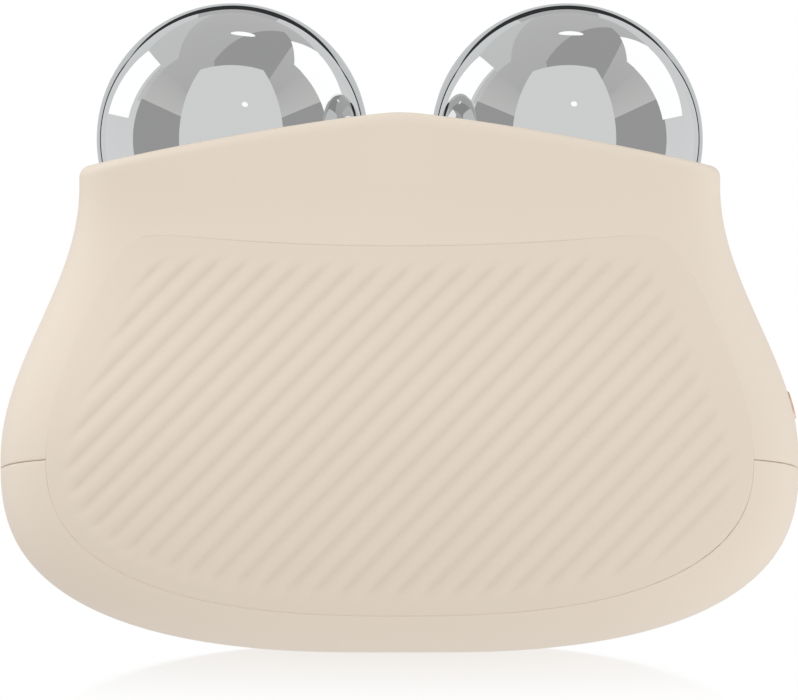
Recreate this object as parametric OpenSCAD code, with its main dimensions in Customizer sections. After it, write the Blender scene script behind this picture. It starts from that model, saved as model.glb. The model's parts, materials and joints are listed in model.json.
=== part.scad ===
// Handheld facial toning device: a bell-shaped moulded body that carries two metal balls.
// Millimetres. The origin is in the middle of the flat foot and Z points up.
// The ribbed grip faces +Y, the power button faces -Y and the side button faces -X.

/* [Body] */
// Width across the hips, the widest place
body_w = 74.1; // [72:0.1:78]
// Width across the shoulders
neck_w = 59.5; // [57:0.1:62]
// Height of the hips
hip_z = 17.6; // [16.5:0.1:19]
// Height above which the sides run straight up
neck_z = 43; // [41:0.5:45]
// Height of the top edge in the middle of the back
back_h = 49.8; // [49:0.1:51.5]
// Depth from the middle plane to the back, at the hips
back_d = 19.5; // [19:0.1:21]
// Depth from the middle plane to the front, at the hips
front_d = 17.2; // [16.8:0.1:19]
// Depth from the middle plane to the back, at the shoulders
neck_back_d = 13.2; // [13:0.1:14]
// Depth from the middle plane to the front, at the shoulders
neck_front_d = 13.4; // [13:0.1:14.5]
// Slope of the roof, down toward the front, in degrees
roof_tilt = 28; // [26:0.5:30]
// How steeply the roof's arch falls from its crown
arch_slope = 0.12; // [0.08:0.005:0.15]
// How much the arch bends down further out, in each millimetre's square
arch_bow = 0.0017; // [0.001:0.0001:0.004]
// Radius at the crown of the arch
crown_r = 0.2; // [0.1:0.05:0.8]
// Radius of the rounded edge round the roof
rim_r = 1.1; // [0.8:0.1:1.4]
// How much of the rounded belly is cut away to leave the flat foot
foot_cut = 0.3; // [0.25:0.05:1]
// Wall of both housings
wall = 2.2; // [2:0.05:2.4]
// Height of the parting line between the housings, in the middle plane
split_z = 16.6; // [16.2:0.1:18]
// Slope of the parting line, up toward the back, in degrees
split_tilt = 6.6; // [6:0.1:8]
// Width of the fine groove along the parting line
seam_w = 0.2; // [0.1:0.05:0.3]
// Height of the lip that locates the upper housing on the lower one
lip_h = 1.5; // [1:0.1:1.8]

/* [Balls] */
// Diameter of each metal ball
ball_d = 25.4; // [24.8:0.1:25.8]
// Distance between the centres of the balls
ball_spacing = 31.2; // [30.8:0.1:32]
// Place of the ball centres, front to back
ball_y = -2.5; // [-3:0.1:-2.2]
// Height of the ball centres
ball_z = 47.35; // [47:0.05:48]
// How far each ball leans out to its side, in degrees
ball_splay = 4.5; // [3:0.5:6]
// Wall of the hollow balls
ball_wall = 1.2; // [1:0.1:1.6]
// Thickness of the insulating seat between ball and housing
seat_t = 0.8; // [0.6:0.05:0.9]
// Thickness of the housing's bowl under each seat
bowl_t = 1.6; // [1.4:0.1:1.8]
// Height of the seat's lip, measured down from the ball centre
seat_top = 6; // [5.8:0.1:6.4]
// Gap between each ball and the housing above its seat
ball_gap = 0.45; // [0.3:0.05:0.6]

/* [Grip panel] */
// Width of the grip panel
panel_w = 64.4; // [62:0.1:66]
// Height of the panel's widest place
panel_z = 18.4; // [18:0.1:19]
// From the widest place up to the panel's top edge, in the middle
panel_up = 19.5; // [18.5:0.1:20]
// From the widest place down to the panel's bottom edge
panel_down = 14.1; // [13.5:0.1:14.5]
// Thickness of the panel, front to back
panel_t = 1.4; // [1.2:0.05:1.5]
// Distance from rib to rib
rib_pitch = 1.81; // [1.7:0.01:2.4]
// Angle of the ribs to the horizontal, in degrees
rib_angle = 44.9; // [40:0.1:50]
// From the foot's middle to the first valley, measured across the ribs
rib_start = 1.05; // [0:0.05:1.8]
// Depth of the valleys between the ribs
rib_h = 0.45; // [0.3:0.05:0.6]
// Plain margin in which the ribs fade out
rib_margin = 3.4; // [2:0.1:5]

/* [Buttons] */
// Diameter of the power button
button_d = 9; // [8.4:0.1:9.4]
// Height of the power button
button_z = 21.5; // [21.3:0.1:22.5]
// How far the power button stands out of the front
button_proud = 0.5; // [0.5:0.05:0.9]
// Travel of the power button
button_travel = 0.5; // [0.3:0.05:0.5]
// Width of the metal ring round the power button
bezel_w = 1.05; // [0.9:0.05:1.2]
// Height of the side button
side_z = 22.7; // [22.3:0.1:23.2]
// Length of the side button
side_len = 6.6; // [6:0.1:8]
// Height of the side button's face
side_face = 1.56; // [1.4:0.02:1.7]
// Width of the copper ring round the side button
side_rim = 0.32; // [0.3:0.02:0.4]
// Travel of the side button
side_travel = 0.4; // [0.2:0.05:0.4]
// Gap between a button and its ring
button_gap = 0.25; // [0.2:0.05:0.3]

/* [Inner parts] */
// Width of the main board
board_w = 43; // [42:0.5:44]
// Front face of the main board, from the middle plane
board_front = 3.6; // [3.4:0.1:3.8]
// Thickness of the main board
board_t = 1.2; // [1:0.1:1.6]
// Top edge of the main board
board_top = 31; // [30.8:0.1:31.2]
// Width of the battery
battery_w = 38; // [34:0.5:38]
// Thickness of the battery
battery_t = 6; // [5:0.1:6.2]
// Height of the battery
battery_h = 18; // [16:0.5:18]
// Thickness of the inner frame's plate
frame_t = 1.5; // [1.3:0.1:1.8]
// Side distance of the housing screws from the middle
screw_x = 24; // [23.8:0.1:24.4]
// Length of the housing screws
screw_len = 9.5; // [9:0.1:9.8]

/* [Hidden] */

fit = 0.05;              // gap between pieces that seat in each other
eps = 0.01;
back_n = 3;              // squareness of the body's sections behind the middle plane
front_n = 2.6;           // and in front of it
belly_n = 2.65;          // squareness of the belly below the hips
shell_c = "#E2D5C5";     // moulded body
ink_c = "#3B3A38";       // dark inner mouldings
metal_c = "#C9CBCE";
copper_c = "#D79A7B";
board_c = "#2F6B4F";

// ---- Surface of the body -------------------------------------------------------------

function mix(a, b, t) = a + (b - a) * t;
function clamp(v, low, high) = max(low, min(high, v));
function signed_pow(v, n) = sign(v) * pow(abs(v), n);

// 1 at the hips, easing to 0 at the shoulders
function flare(z) = (1 + cos(180 * clamp((z - hip_z) / (neck_z - hip_z), 0, 1))) / 2;

// 1 at the hips, falling to the foot along a rounded belly; inset draws it in all round
function belly(z, inset) =
    pow(max(0, 1 - pow((hip_z - z) / (hip_z + foot_cut - inset), belly_n)), 1 / belly_n);

// Reach of the body at height z, between a size at the hips and one at the shoulders
function reach(z, hip, neck, inset) =
    z < hip_z ? (hip - inset) * belly(z, inset) : mix(neck, hip, flare(z)) - inset;

function half_w(z, inset = 0) = reach(z, body_w / 2, neck_w / 2, inset);
function depth_back(z, inset = 0) = reach(z, back_d, neck_back_d, inset);
function depth_front(z, inset = 0) = reach(z, front_d, neck_front_d, inset);

// Point of the section at height z; the back half takes the angles from 0 to 180
function section(angle, z, inset = 0) =
    let (back = angle <= 180, n = back ? back_n : front_n,
         depth = back ? depth_back(z, inset) : depth_front(z, inset))
    [half_w(z, inset) * signed_pow(cos(angle), 2 / n), depth * signed_pow(sin(angle), 2 / n), z];

// The roof: an arch from shoulder to shoulder that falls toward the front
function arch(x) = sqrt(pow(crown_r, 2) + pow(arch_slope * x, 2)) - crown_r + arch_bow * x * x;
function edge_y(x) =
    neck_back_d * pow(max(0, 1 - pow(min(1, abs(x) / (neck_w / 2)), back_n)), 1 / back_n);
function roof(x, y) = back_h - arch(x) - (edge_y(x) - y) * tan(roof_tilt);

// Height at which the side of the body meets the roof
function rim(angle, inset, z = neck_z, turns = 8) =
    turns == 0 ? z : let (p = section(angle, z, inset))
    rim(angle, inset, roof(p.x, p.y) - inset / cos(roof_tilt), turns - 1);

// Surface of the back at x, z, and the lean of the front and of the side at a height
function back_y(x, z) =
    depth_back(z) * pow(max(0, 1 - pow(min(1, abs(x) / half_w(z)), back_n)), 1 / back_n);
function front_lean(z) = atan(depth_front(z - 0.5) - depth_front(z + 0.5));
function side_lean(z) = atan(half_w(z - 0.5) - half_w(z + 0.5));

// Closed skin over rings with the same number of points, from the lowest to the highest
module loft(rings, low, high) {
    n = len(rings[0]);
    m = len(rings);
    sides = [for (k = [0:m - 2], j = [0:n - 1])
        let (a = k * n + j, b = k * n + (j + 1) % n) each [[a, a + n, b + n], [a, b + n, b]]];
    caps = [for (j = [0:n - 1]) let (next = (j + 1) % n)
        each [[m * n, j, next], [m * n + 1, (m - 1) * n + next, (m - 1) * n + j]]];
    polyhedron(concat([for (r = rings) each r], [low, high]), concat(sides, caps));
}

// The whole body drawn in by inset, with columns points round it and rows up each half
module body_solid(inset = 0, columns = 60, rows = 8) {
    angles = [for (j = [0:columns - 1]) 360 * j / columns];
    round_r = max(rim_r - inset, 0);
    tops = [for (a = angles) rim(a, inset)];
    belly_rings = [for (k = [0:rows - 1])
        let (z = mix(inset, hip_z, pow(k / rows, 1.8))) [for (a = angles) section(a, z, inset)]];
    side_rings = [for (k = [0:rows]) [for (j = [0:columns - 1])
        section(angles[j], mix(hip_z, tops[j] - round_r, k / rows), inset)]];
    round_steps = round_r > 0 ? [30, 60, 90] : [];
    round_rings = [for (s = round_steps) [for (j = [0:columns - 1])
        section(angles[j], tops[j] - round_r * (1 - sin(s)), inset + round_r * (1 - cos(s)))]];
    rings = concat(belly_rings, side_rings, round_rings);
    edge = rings[len(rings) - 1];
    drop = inset / cos(roof_tilt);
    roof_rings = [for (t = [0.93, 0.8, 0.6, 0.35]) [for (p = edge)
        [p.x * t, p.y * t, mix(roof(p.x * t, p.y * t) - drop, p.z, pow(t, 12))]]];
    loft(concat(rings, roof_rings), [0, 0, inset], [0, 0, roof(0, 0) - drop]);
}

// One closed skin from lofted pieces; the zeros leave every size as drawn
module one_skin() resize([0, 0, 0]) children();

// Everything above or below the parting plane, which may be shifted up
module above_split(shift = 0)
    translate([0, 0, split_z + shift]) rotate([split_tilt, 0, 0])
        translate([-60, -60, 0]) cube([120, 120, 60]);
module below_split(shift = 0)
    translate([0, 0, split_z + shift]) rotate([split_tilt, 0, 0])
        translate([-60, -60, -60]) cube([120, 120, 60]);

// ---- Grip panel ----------------------------------------------------------------------

// Below 1 inside the panel's outline: a tapered top with tight corners over a rounded bowl
panel_taper = 0.0619;    // how the sides draw in above the widest place
panel_dip = 0.0017;      // how the top edge dips toward the middle
corner_n = 18;
bowl_n = 2.5;
function panel_in(x, z, grow = 0) =
    let (dz = z - panel_z, half = panel_w / 2 + grow)
    dz < 0 ? pow(abs(x) / half, bowl_n) + pow(-dz / (panel_down + grow), bowl_n)
    : pow(abs(x) / (half - panel_taper * pow(dz, 1.6)), corner_n)
      + pow(dz / (panel_up + grow + panel_dip * x * x), corner_n);

// Directions along the ribs and across them, in x and z
rib_u = [-cos(rib_angle), sin(rib_angle)];
rib_v = [sin(rib_angle), cos(rib_angle)];

// Distance from p to the outline along the direction d
function to_edge(p, d, grow, low = 0, high = 90, turns = 24) =
    turns == 0 ? low : let (s = (low + high) / 2)
    panel_in(p.x + d.x * s, p.y + d.y * s, grow) < 1
        ? to_edge(p, d, grow, s, high, turns - 1) : to_edge(p, d, grow, low, s, turns - 1);

// The outline's two points that lie furthest across the ribs
function outline(grow) = [for (a = [0:1.5:358.5]) let (d = [cos(a), sin(a)])
    [0, panel_z] + d * to_edge([0, panel_z], d, grow)];
function furthest(points, side) =
    let (reach = [for (p = points) side * (p * rib_v)]) points[search(max(reach), reach)[0]];

// Rows of points across the panel, each row a line along the ribs from edge to edge
function panel_rows(rows_a_rib, grow) =
    let (points = outline(grow), first = furthest(points, -1), last = furthest(points, 1),
         low = first * rib_v, high = last * rib_v, step = rib_pitch / rows_a_rib,
         first_row = ceil((low - rib_start) / step + 0.2),
         last_row = floor((high - rib_start) / step - 0.2),
         inner = [for (k = [first_row:last_row]) rib_start + k * step])
    [for (across = concat([low], inner, [high]))
        let (p = mix(first, last, (across - low) / (high - low)),
             start = p - rib_u * to_edge(p, -rib_u, grow), end = p + rib_u * to_edge(p, rib_u, grow))
        [for (j = [0:panel_steps]) mix(start, end, (1 - cos(180 * j / panel_steps)) / 2)]];

// Depth of the ribs' valleys at a point of the panel
function fade(p) =
    let (room = min(to_edge(p, [1, 0], 0), to_edge(p, [-1, 0], 0),
                    to_edge(p, [0, 1], 0), to_edge(p, [0, -1], 0)))
    pow(sin(90 * clamp(room / rib_margin - 0.25, 0, 1)), 2);
function valley(p) = rib_h * fade(p) * (1 - abs(sin(180 * (p * rib_v - rib_start) / rib_pitch)));

// Closed slab over the rows, between two surfaces given as lists of rows of points
module slab(outer, inner) {
    m = len(outer);
    n = len(outer[0]);
    count = m * n;
    grid = [for (i = [0:m - 2], j = [0:n - 2]) let (a = i * n + j, b = a + n)
        each [[a, b + 1, a + 1], [a, b, b + 1],
              [count + a, count + a + 1, count + b + 1], [count + a, count + b + 1, count + b]]];
    loop = concat([for (j = [0:n - 2]) j], [for (i = [0:m - 2]) i * n + n - 1],
        [for (j = [n - 1:-1:1]) (m - 1) * n + j], [for (i = [m - 1:-1:1]) i * n]);
    edges = [for (k = [0:len(loop) - 1])
        let (a = loop[k], b = loop[(k + 1) % len(loop)])
        each [[a, b, count + b], [a, count + b, count + a]]];
    polyhedron(concat([for (r = outer) each r], [for (r = inner) each r]), concat(grid, edges));
}

panel_gap = 0.08;        // bed of glue behind the panel
panel_steps = 7;         // stretches along each rib

module grip_panel() {
    rows = panel_rows(3, -fit);
    outer = [for (r = rows) [for (p = r) [p.x, back_y(p.x, p.y) - valley(p), p.y]]];
    inner = [for (r = rows) [for (p = r) [p.x, back_y(p.x, p.y) - panel_t, p.y]]];
    color(shell_c) slab(outer, inner);
}

// What the housings lose to the panel
module panel_recess() {
    rows = panel_rows(2, panel_gap);
    outer = [for (r = rows) [for (p = r) [p.x, back_y(p.x, p.y) + 3, p.y]]];
    inner = [for (r = rows) [for (p = r) [p.x, back_y(p.x, p.y) - panel_t - panel_gap, p.y]]];
    slab(outer, inner);
}

// ---- Balls and their seats -----------------------------------------------------------

// Local Z runs out through the middle of the ball on one side, 1 for +X and -1 for -X
module at_ball(side)
    translate([side * ball_spacing / 2, ball_y, ball_z])
        rotate([roof_tilt, side * ball_splay, 0]) children();

ball_r = ball_d / 2;
seat_in = ball_r + fit;
seat_out = seat_in + seat_t;
mouth_r = 11.4;                       // radius of the seat's opening in the roof
bowl_r = seat_out + fit + bowl_t;
pocket_sides = 36;                    // the pocket's flat faces stay clear of the round seat
pocket_r = (seat_out + fit) / pow(cos(180 / pocket_sides), 2);
ball_screw_d = 2.6;
terminal_t = 0.5;

// Rounded plug: a cylinder that ends below in a sphere
module plug(r, sphere_r, top) {
    intersection() {
        sphere(sphere_r);
        translate([0, 0, -sphere_r]) cylinder(r = r, h = sphere_r);
    }
    shoulder = sqrt(pow(sphere_r, 2) - pow(r, 2));
    translate([0, 0, -shoulder]) cylinder(r = r, h = shoulder + top);
}

module ball(side) color(metal_c) at_ball(side) difference() {
    union() {
        difference() {
            sphere(ball_r, $fn = 128);
            sphere(ball_r - ball_wall, $fn = 96);
        }
        intersection() {
            sphere(ball_r - ball_wall / 2, $fn = 96);
            translate([0, 0, -ball_r]) cylinder(r = 3, h = 7, $fn = 48);
        }
    }
    translate([0, 0, -ball_r - 1]) cylinder(d = ball_screw_d + 2 * fit, h = 7, $fn = 32);
}
module left_ball() ball(1);
module right_ball() ball(-1);

module ball_seat(side) color(shell_c) at_ball(side) difference() {
    plug(mouth_r, seat_out, -seat_top, $fn = 96);
    sphere(seat_in, $fn = 96);
    translate([0, 0, -20]) cylinder(d = ball_screw_d + 2 * fit, h = 20, $fn = 32);
}
module left_ball_seat() ball_seat(1);
module right_ball_seat() ball_seat(-1);

module ball_screws() color(metal_c) for (side = [-1, 1]) at_ball(side) {
    translate([0, 0, -bowl_r - terminal_t]) cylinder(d = ball_screw_d, h = 6, $fn = 32);
    translate([0, 0, -bowl_r - terminal_t - 1.6]) difference() {
        cylinder(d1 = 4, d2 = 4.6, h = 1.6, $fn = 32);
        translate([-1.8, -0.3, -eps]) cube([3.6, 0.6, 0.8]);
        translate([-0.3, -1.8, -eps]) cube([0.6, 3.6, 0.8]);
    }
}

terminal_reach = 6;
module ball_terminals() color("#D9C27A") for (side = [-1, 1]) at_ball(side)
    translate([0, 0, -bowl_r - terminal_t]) difference() {
        union() {
            cylinder(d = 5.6, h = terminal_t - fit, $fn = 48);
            translate([-1, -terminal_reach, 0]) cube([2, terminal_reach, terminal_t - fit]);
        }
        translate([0, 0, -1]) cylinder(d = ball_screw_d + 2 * fit, h = 3, $fn = 32);
    }

// ---- Housings ------------------------------------------------------------------------

// Screws that pass from the panel's recess into the inner frame: x, z and lengthwise seat
upper_screw_z = 27;
lower_screw_z = 11;
screw_d = 2;
screw_head_d = 3.8;
screw_head_h = 1.5;
boss_d = 6;
boss_y = 7;              // where the housings' bosses meet the frame's posts
screw_sink = 2.9;        // from the recess down to the seat under the screw heads
function screw_seat(z) = back_y(screw_x, z) - panel_t - screw_sink;

module along_y(x, y, z) translate([x, y, z]) rotate([-90, 0, 0]) children();

module screw_bosses(z) intersection() {
    body_solid(panel_t + 0.4, 40, 6);
    for (side = [-1, 1]) along_y(side * screw_x, boss_y, z) cylinder(d = boss_d, h = 14, $fn = 24);
}
module screw_holes(z) for (side = [-1, 1]) {
    along_y(side * screw_x, boss_y - 1, z) cylinder(d = screw_d + 0.2, h = 12, $fn = 24);
    along_y(side * screw_x, screw_seat(z), z)
        cylinder(d = screw_head_d + 0.4, h = 12, $fn = 32);
}

module inner_solid(inset = wall) body_solid(inset, 40, 6);

module upper_housing() color(shell_c) difference() {
    one_skin() difference() {
        intersection() {
            union() {
                difference() {
                    body_solid();
                    inner_solid();
                }
                intersection() {
                    body_solid(rim_r / 2, 40, 6);
                    for (side = [-1, 1]) at_ball(side) sphere(bowl_r, $fn = 32);
                }
                screw_bosses(upper_screw_z);
            }
            above_split(seam_w);
        }
        panel_recess();
        for (side = [-1, 1]) at_ball(side) {
            plug(mouth_r + fit, pocket_r, 0, $fn = pocket_sides);
            sphere(ball_r + ball_gap, $fn = pocket_sides);
        }
    }
    for (side = [-1, 1]) at_ball(side)
        translate([0, 0, -20]) cylinder(d = ball_screw_d + 2 * fit, h = 20, $fn = 32);
    screw_holes(upper_screw_z);
    at_front() translate([0, 0, -6]) cylinder(d = ring_d + 2 * fit, h = 12, $fn = 64);
    guide_pins(guide_d + 2 * fit, 3);
    at_side() translate([0, 0, -6]) pill(side_slot_r + fit, side_len, 12);
}

module lower_housing() color(shell_c) difference() {
    one_skin() difference() {
        union() {
            intersection() {
                union() {
                    difference() {
                        body_solid();
                        inner_solid();
                    }
                    screw_bosses(lower_screw_z);
                }
                below_split();
            }
            intersection() {
                difference() {
                    inner_solid(wall - 0.4);
                    inner_solid(wall + 0.9);
                }
                below_split(-1);
                above_split(-3);
            }
            intersection() {
                difference() {
                    inner_solid(wall + fit);
                    inner_solid(wall + 0.9);
                }
                below_split(lip_h);
                above_split(-1.5);
            }
        }
        panel_recess();
    }
    screw_holes(lower_screw_z);
    at_front() translate([0, 0, -8])
        cylinder(d = button_d + 2 * flange_w + 1.2, h = 8 - wall - fit, $fn = 64);
    translate([0, port_y, -1]) stadium(port_w + 2 * port_gap, port_h + 2 * port_gap, 6);
}

module housing_screws() color(metal_c) for (z = [upper_screw_z, lower_screw_z], side = [-1, 1]) {
    seat = screw_seat(z);
    along_y(side * screw_x, seat, z) difference() {
        union() {
            translate([0, 0, -screw_len]) cylinder(d = screw_d, h = screw_len + eps, $fn = 24);
            cylinder(d = screw_head_d, h = screw_head_h, $fn = 32);
        }
        translate([-1.3, -0.25, 0.7]) cube([2.6, 0.5, 2]);
        translate([-0.25, -1.3, 0.7]) cube([0.5, 2.6, 2]);
    }
}

// ---- Inner frame, board and what sits on it ------------------------------------------

frame_bottom = 9;
clip_t = 1;              // thickness of the stops at the battery's upper corners
post_d = 4.2;
post_x = 18.6;
post_zs = [12.4, 26];
lead_turn_x = -battery_w / 2 - 5;    // where the battery leads pass the frame
board_screw_d = 1.6;
board_bottom = 8;
board_back = board_front - board_t;
lead_x = 13;             // where the ball leads pass the top edge of the board
pad_t = 1;               // foam between battery and frame
battery_z = 9.8;
frame_top = battery_z + battery_h + 0.2 + clip_t;
// Stack behind the side button, from the side's surface in
side_x = half_w(side_z);
side_depth = 7.35;       // to the frame's arm
side_board_x = side_x - side_depth;
side_board_h = 5.8;
frame_w = 2 * (side_board_x - 1.5);

module box(x0, x1, y0, y1, z0, z1)
    translate([x0, y0, z0]) cube([x1 - x0, y1 - y0, z1 - z0]);

module inner_frame() color(ink_c) difference() {
    union() {
        box(-frame_w / 2, frame_w / 2, 0, frame_t, frame_bottom, frame_top);
        for (z = post_zs, side = [-1, 1])
            along_y(side * post_x, -board_back, z) cylinder(d = post_d, h = board_back + eps, $fn = 32);
        for (z = [upper_screw_z, lower_screw_z], side = [-1, 1])
            along_y(side * screw_x, 0, z) cylinder(d = boss_d, h = boss_y, $fn = 32);
        // tray under the battery and stops at its upper corners
        box(-battery_w / 2, battery_w / 2, 0, battery_y1, frame_bottom - 0.4, battery_z - 0.2);
        for (side = [-1, 1])
            translate([side * (battery_w / 2 - 3), 0, 0])
                box(-2, 2, 0, battery_y1 + 0.9, frame_top - clip_t, frame_top);
        // arm for the side board, above the battery leads
        box(-side_board_x, -frame_w / 2 + 1.5, -3, 3,
            plug_z + 3, side_switch_z + side_board_h / 2);
    }
    for (z = post_zs, side = [-1, 1])
        along_y(side * post_x, -board_back - 1, z) cylinder(d = board_screw_d + 0.1, h = 5.2, $fn = 24);
    for (z = [upper_screw_z, lower_screw_z], side = [-1, 1])
        along_y(side * screw_x, 1.2, z) cylinder(d = screw_d + 0.1, h = 8, $fn = 24);
    // window for the battery leads
    box(lead_turn_x - 2, lead_turn_x + 1.8, -1, frame_t + 1, plug_z - 2.6, plug_z + 2.8);
}

module main_board() color(board_c) difference() {
    union() {
        box(-board_w / 2, board_w / 2, -board_front, -board_back, board_bottom, board_top);
        box(-6.5, 6.5, -board_front, -board_back, wall + 0.4, board_bottom + 1);
    }
    for (z = post_zs, side = [-1, 1])
        along_y(side * post_x, -board_front - 1, z) cylinder(d = board_screw_d + 0.2, h = 4, $fn = 24);
    for (side = [-1, 1])
        box(side * lead_x - 1.3, side * lead_x + 1.3, -board_front - 1, 0, board_top - 2, board_top + 1);
}

module board_screws() color(metal_c) for (z = post_zs, side = [-1, 1]) {
    along_y(side * post_x, -board_front, z) cylinder(d = board_screw_d, h = 4.4, $fn = 24);
    along_y(side * post_x, -board_front - 1.1, z) difference() {
        cylinder(d = 3, h = 1.1, $fn = 32);
        translate([-1, -0.2, -eps]) cube([2, 0.4, 0.5]);
        translate([-0.2, -1, -eps]) cube([0.4, 2, 0.5]);
    }
}

// A block on the front face of the board, centred at x, z
module on_board(x, z, w, h, t)
    box(x - w / 2, x + w / 2, -board_front - t, -board_front, z - h / 2, z + h / 2);

module controller_chip() color(ink_c) on_board(-7, 11.8, 5, 5, 0.9);
module boost_inductor() color("#6E6E6E") difference() {
    on_board(0.5, 11.8, 4.4, 4.4, 2.2);
    along_y(0.5, -board_front - 3, 11.8) cylinder(d = 2.4, h = 1.4, $fn = 32);
}
module output_capacitors() color("#8A8F96") for (x = [7, 12.4]) {
    on_board(x, 11.8, 4.4, 4.4, 0.9);
    along_y(x, -board_front - 5.4, 11.8) cylinder(d = 4, h = 4.5 + eps, $fn = 32);
}
module buzzer() color(ink_c) difference() {
    along_y(13.6, -board_front - 2.6, 20.4) cylinder(d = 9, h = 2.6, $fn = 64);
    along_y(13.6, -board_front - 3, 20.4) cylinder(d = 1.6, h = 1.2, $fn = 32);
}

// Indicator lights, seen through clear pins in the front wall
led_z = 29.4;
led_t = 0.7;
guide_xs = [-3.6, 0, 3.6];
guide_d = 1.4;
guide_face = depth_front(led_z) + 0.05;
module guide_pins(d, extra = 0) for (x = guide_xs)
    along_y(x, -guide_face - extra, led_z)
        cylinder(d = d, h = guide_face - board_front - led_t - 0.5 + extra, $fn = 32);
module indicator_leds() color("#F4F1E4") for (x = guide_xs) on_board(x, led_z, 1.6, 0.8, led_t);
module light_guide() color("#E9EEF2") {
    guide_pins(guide_d);
    box(guide_xs[0], guide_xs[2], -depth_front(led_z) + wall + 1, -depth_front(led_z) + wall + 2,
        led_z - 0.6, led_z + 0.6);
}

// ---- Power button --------------------------------------------------------------------

ring_d = button_d + 2 * (button_gap + bezel_w);
flange_w = 0.8;          // how far the button's flange reaches behind the ring
button_lean = front_lean(button_z);
switch_t = 3.5;
switch_front = board_front + switch_t;
plunger_proud = button_travel + 0.3;
// Distance along the button's axis from the front surface to the switch
stem_reach = (depth_front(button_z) - switch_front - plunger_proud) / cos(button_lean);
switch_z = button_z - (depth_front(button_z) - switch_front) * tan(button_lean);

// Local Z runs out of the front surface at the button
module at_front() translate([0, -depth_front(button_z), button_z])
    rotate([90 - button_lean, 0, 0]) children();

module power_button() color(shell_c) at_front() {
    rotate_extrude($fn = 96) polygon(concat(
        [[0, -3.4], [button_d / 2 + flange_w, -3.4], [button_d / 2 + flange_w, -wall - 0.25],
         [button_d / 2, -wall - 0.25]],
        [for (a = [0:15:90]) [button_d / 2 - 0.4 + 0.4 * cos(a), button_proud - 0.4 + 0.4 * sin(a)]],
        [[button_d / 4, button_proud - 0.12], [0, button_proud - 0.16]]));
    translate([0, 0, -stem_reach]) cylinder(d = 3.4, h = stem_reach - 3.3, $fn = 48);
}
module power_button_ring() color(copper_c) at_front() rotate_extrude($fn = 96)
    polygon([[button_d / 2 + button_gap, -wall - 0.05], [ring_d / 2, -wall - 0.05],
             [ring_d / 2, 0.1], [ring_d / 2 - 0.3, 0.3],
             [button_d / 2 + button_gap + 0.3, 0.3], [button_d / 2 + button_gap, 0.1]]);
module power_switch() color(ink_c) difference() {
    on_board(0, switch_z, 6, 6, switch_t);
    along_y(0, -switch_front - 1, switch_z) cylinder(d = 4, h = 3.4, $fn = 48);
}
module power_switch_plunger() color("#C8452F") at_front()
    translate([0, 0, -stem_reach - plunger_proud - 0.9])
        cylinder(d = 3.2, h = plunger_proud + 0.9, $fn = 48);

// ---- Side button ---------------------------------------------------------------------

side_lean_a = side_lean(side_z);
side_r = side_face / 2;
side_slot_r = side_r + button_gap * 0.8 + side_rim;
side_board_t = 0.8;
side_switch_t = 1.8;
side_switch_x = side_board_x + side_board_t + side_switch_t;
side_plunger_proud = side_travel + 0.1;
side_stem = (side_x - side_switch_x - side_plunger_proud) / cos(side_lean_a);
side_switch_z = side_z - (side_x - side_switch_x) * tan(side_lean_a);

// Local Z runs out of the side at the button; the pill's length is along Y
module at_side() translate([-side_x, 0, side_z]) rotate([0, side_lean_a - 90, 0]) children();
module pill(r, length, h) {
    half = length / 2 - side_r;
    for (y = [-half, half]) translate([0, y, 0]) cylinder(r = r, h = h, $fn = 48);
    translate([-r, -half, 0]) cube([2 * r, 2 * half, h]);
}

module side_button() color(shell_c) at_side() {
    translate([0, 0, -wall - 0.3]) pill(side_r, side_len, wall + 0.6);
    translate([0, 0, -wall - 1]) pill(side_r + 0.35, side_len, 0.8);
    translate([0, 0, -side_stem]) cylinder(d = 2, h = side_stem - wall, $fn = 32);
}
module side_button_ring() color(copper_c) at_side() translate([0, 0, -wall + 0.1]) difference() {
    pill(side_slot_r, side_len, wall + 0.1);
    translate([0, 0, -1]) pill(side_slot_r - side_rim, side_len, wall + 2);
}
module side_board() color(board_c)
    box(-side_board_x - side_board_t, -side_board_x, -4, 4,
        side_switch_z - side_board_h / 2, side_switch_z + side_board_h / 2);
module side_switch() color(ink_c) difference() {
    box(-side_switch_x, -side_board_x - side_board_t, -2.3, 2.3,
        side_switch_z - 2.3, side_switch_z + 2.3);
    translate([-side_switch_x - 1, 0, side_switch_z]) rotate([0, 90, 0])
        cylinder(d = 3, h = 2.4, $fn = 32);
}
module side_switch_plunger() color("#C8452F") at_side()
    translate([0, 0, -side_stem - side_plunger_proud - 0.5])
        cylinder(d = 2, h = side_plunger_proud + 0.5, $fn = 32);
// Flat cable from the side board to the main board
ribbon_t = 0.3;
module side_ribbon() color("#C9822F")
    box(-side_board_x, -board_w / 2 + 3, -board_front - ribbon_t, -board_front, side_z - 1.5, side_z + 1.5);

// ---- Battery, leads and charge port --------------------------------------------------

battery_y0 = frame_t + pad_t;
battery_y1 = battery_y0 + battery_t;
module battery() color("#B9BEC4")
    box(-battery_w / 2 + 0.2, battery_w / 2 - 0.2, battery_y0, battery_y1,
        battery_z, battery_z + battery_h);
module battery_pad() color("#55524E")
    box(-battery_w / 2 + 2, battery_w / 2 - 2, frame_t, battery_y0,
        battery_z + 1, battery_z + battery_h - 1);

plug_x = -15.6;
plug_z = 19.2;
plug_w = 5.2;
plug_t = 3.6;
module battery_connector() color("#EDE9DD") difference() {
    on_board(plug_x, plug_z, plug_w, 5, plug_t);
    on_board(plug_x + 0.6, plug_z, plug_w - 2, 3.4, 8);
    on_board(plug_x, plug_z, plug_w - 1, 4, plug_t + 1);
}

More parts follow.
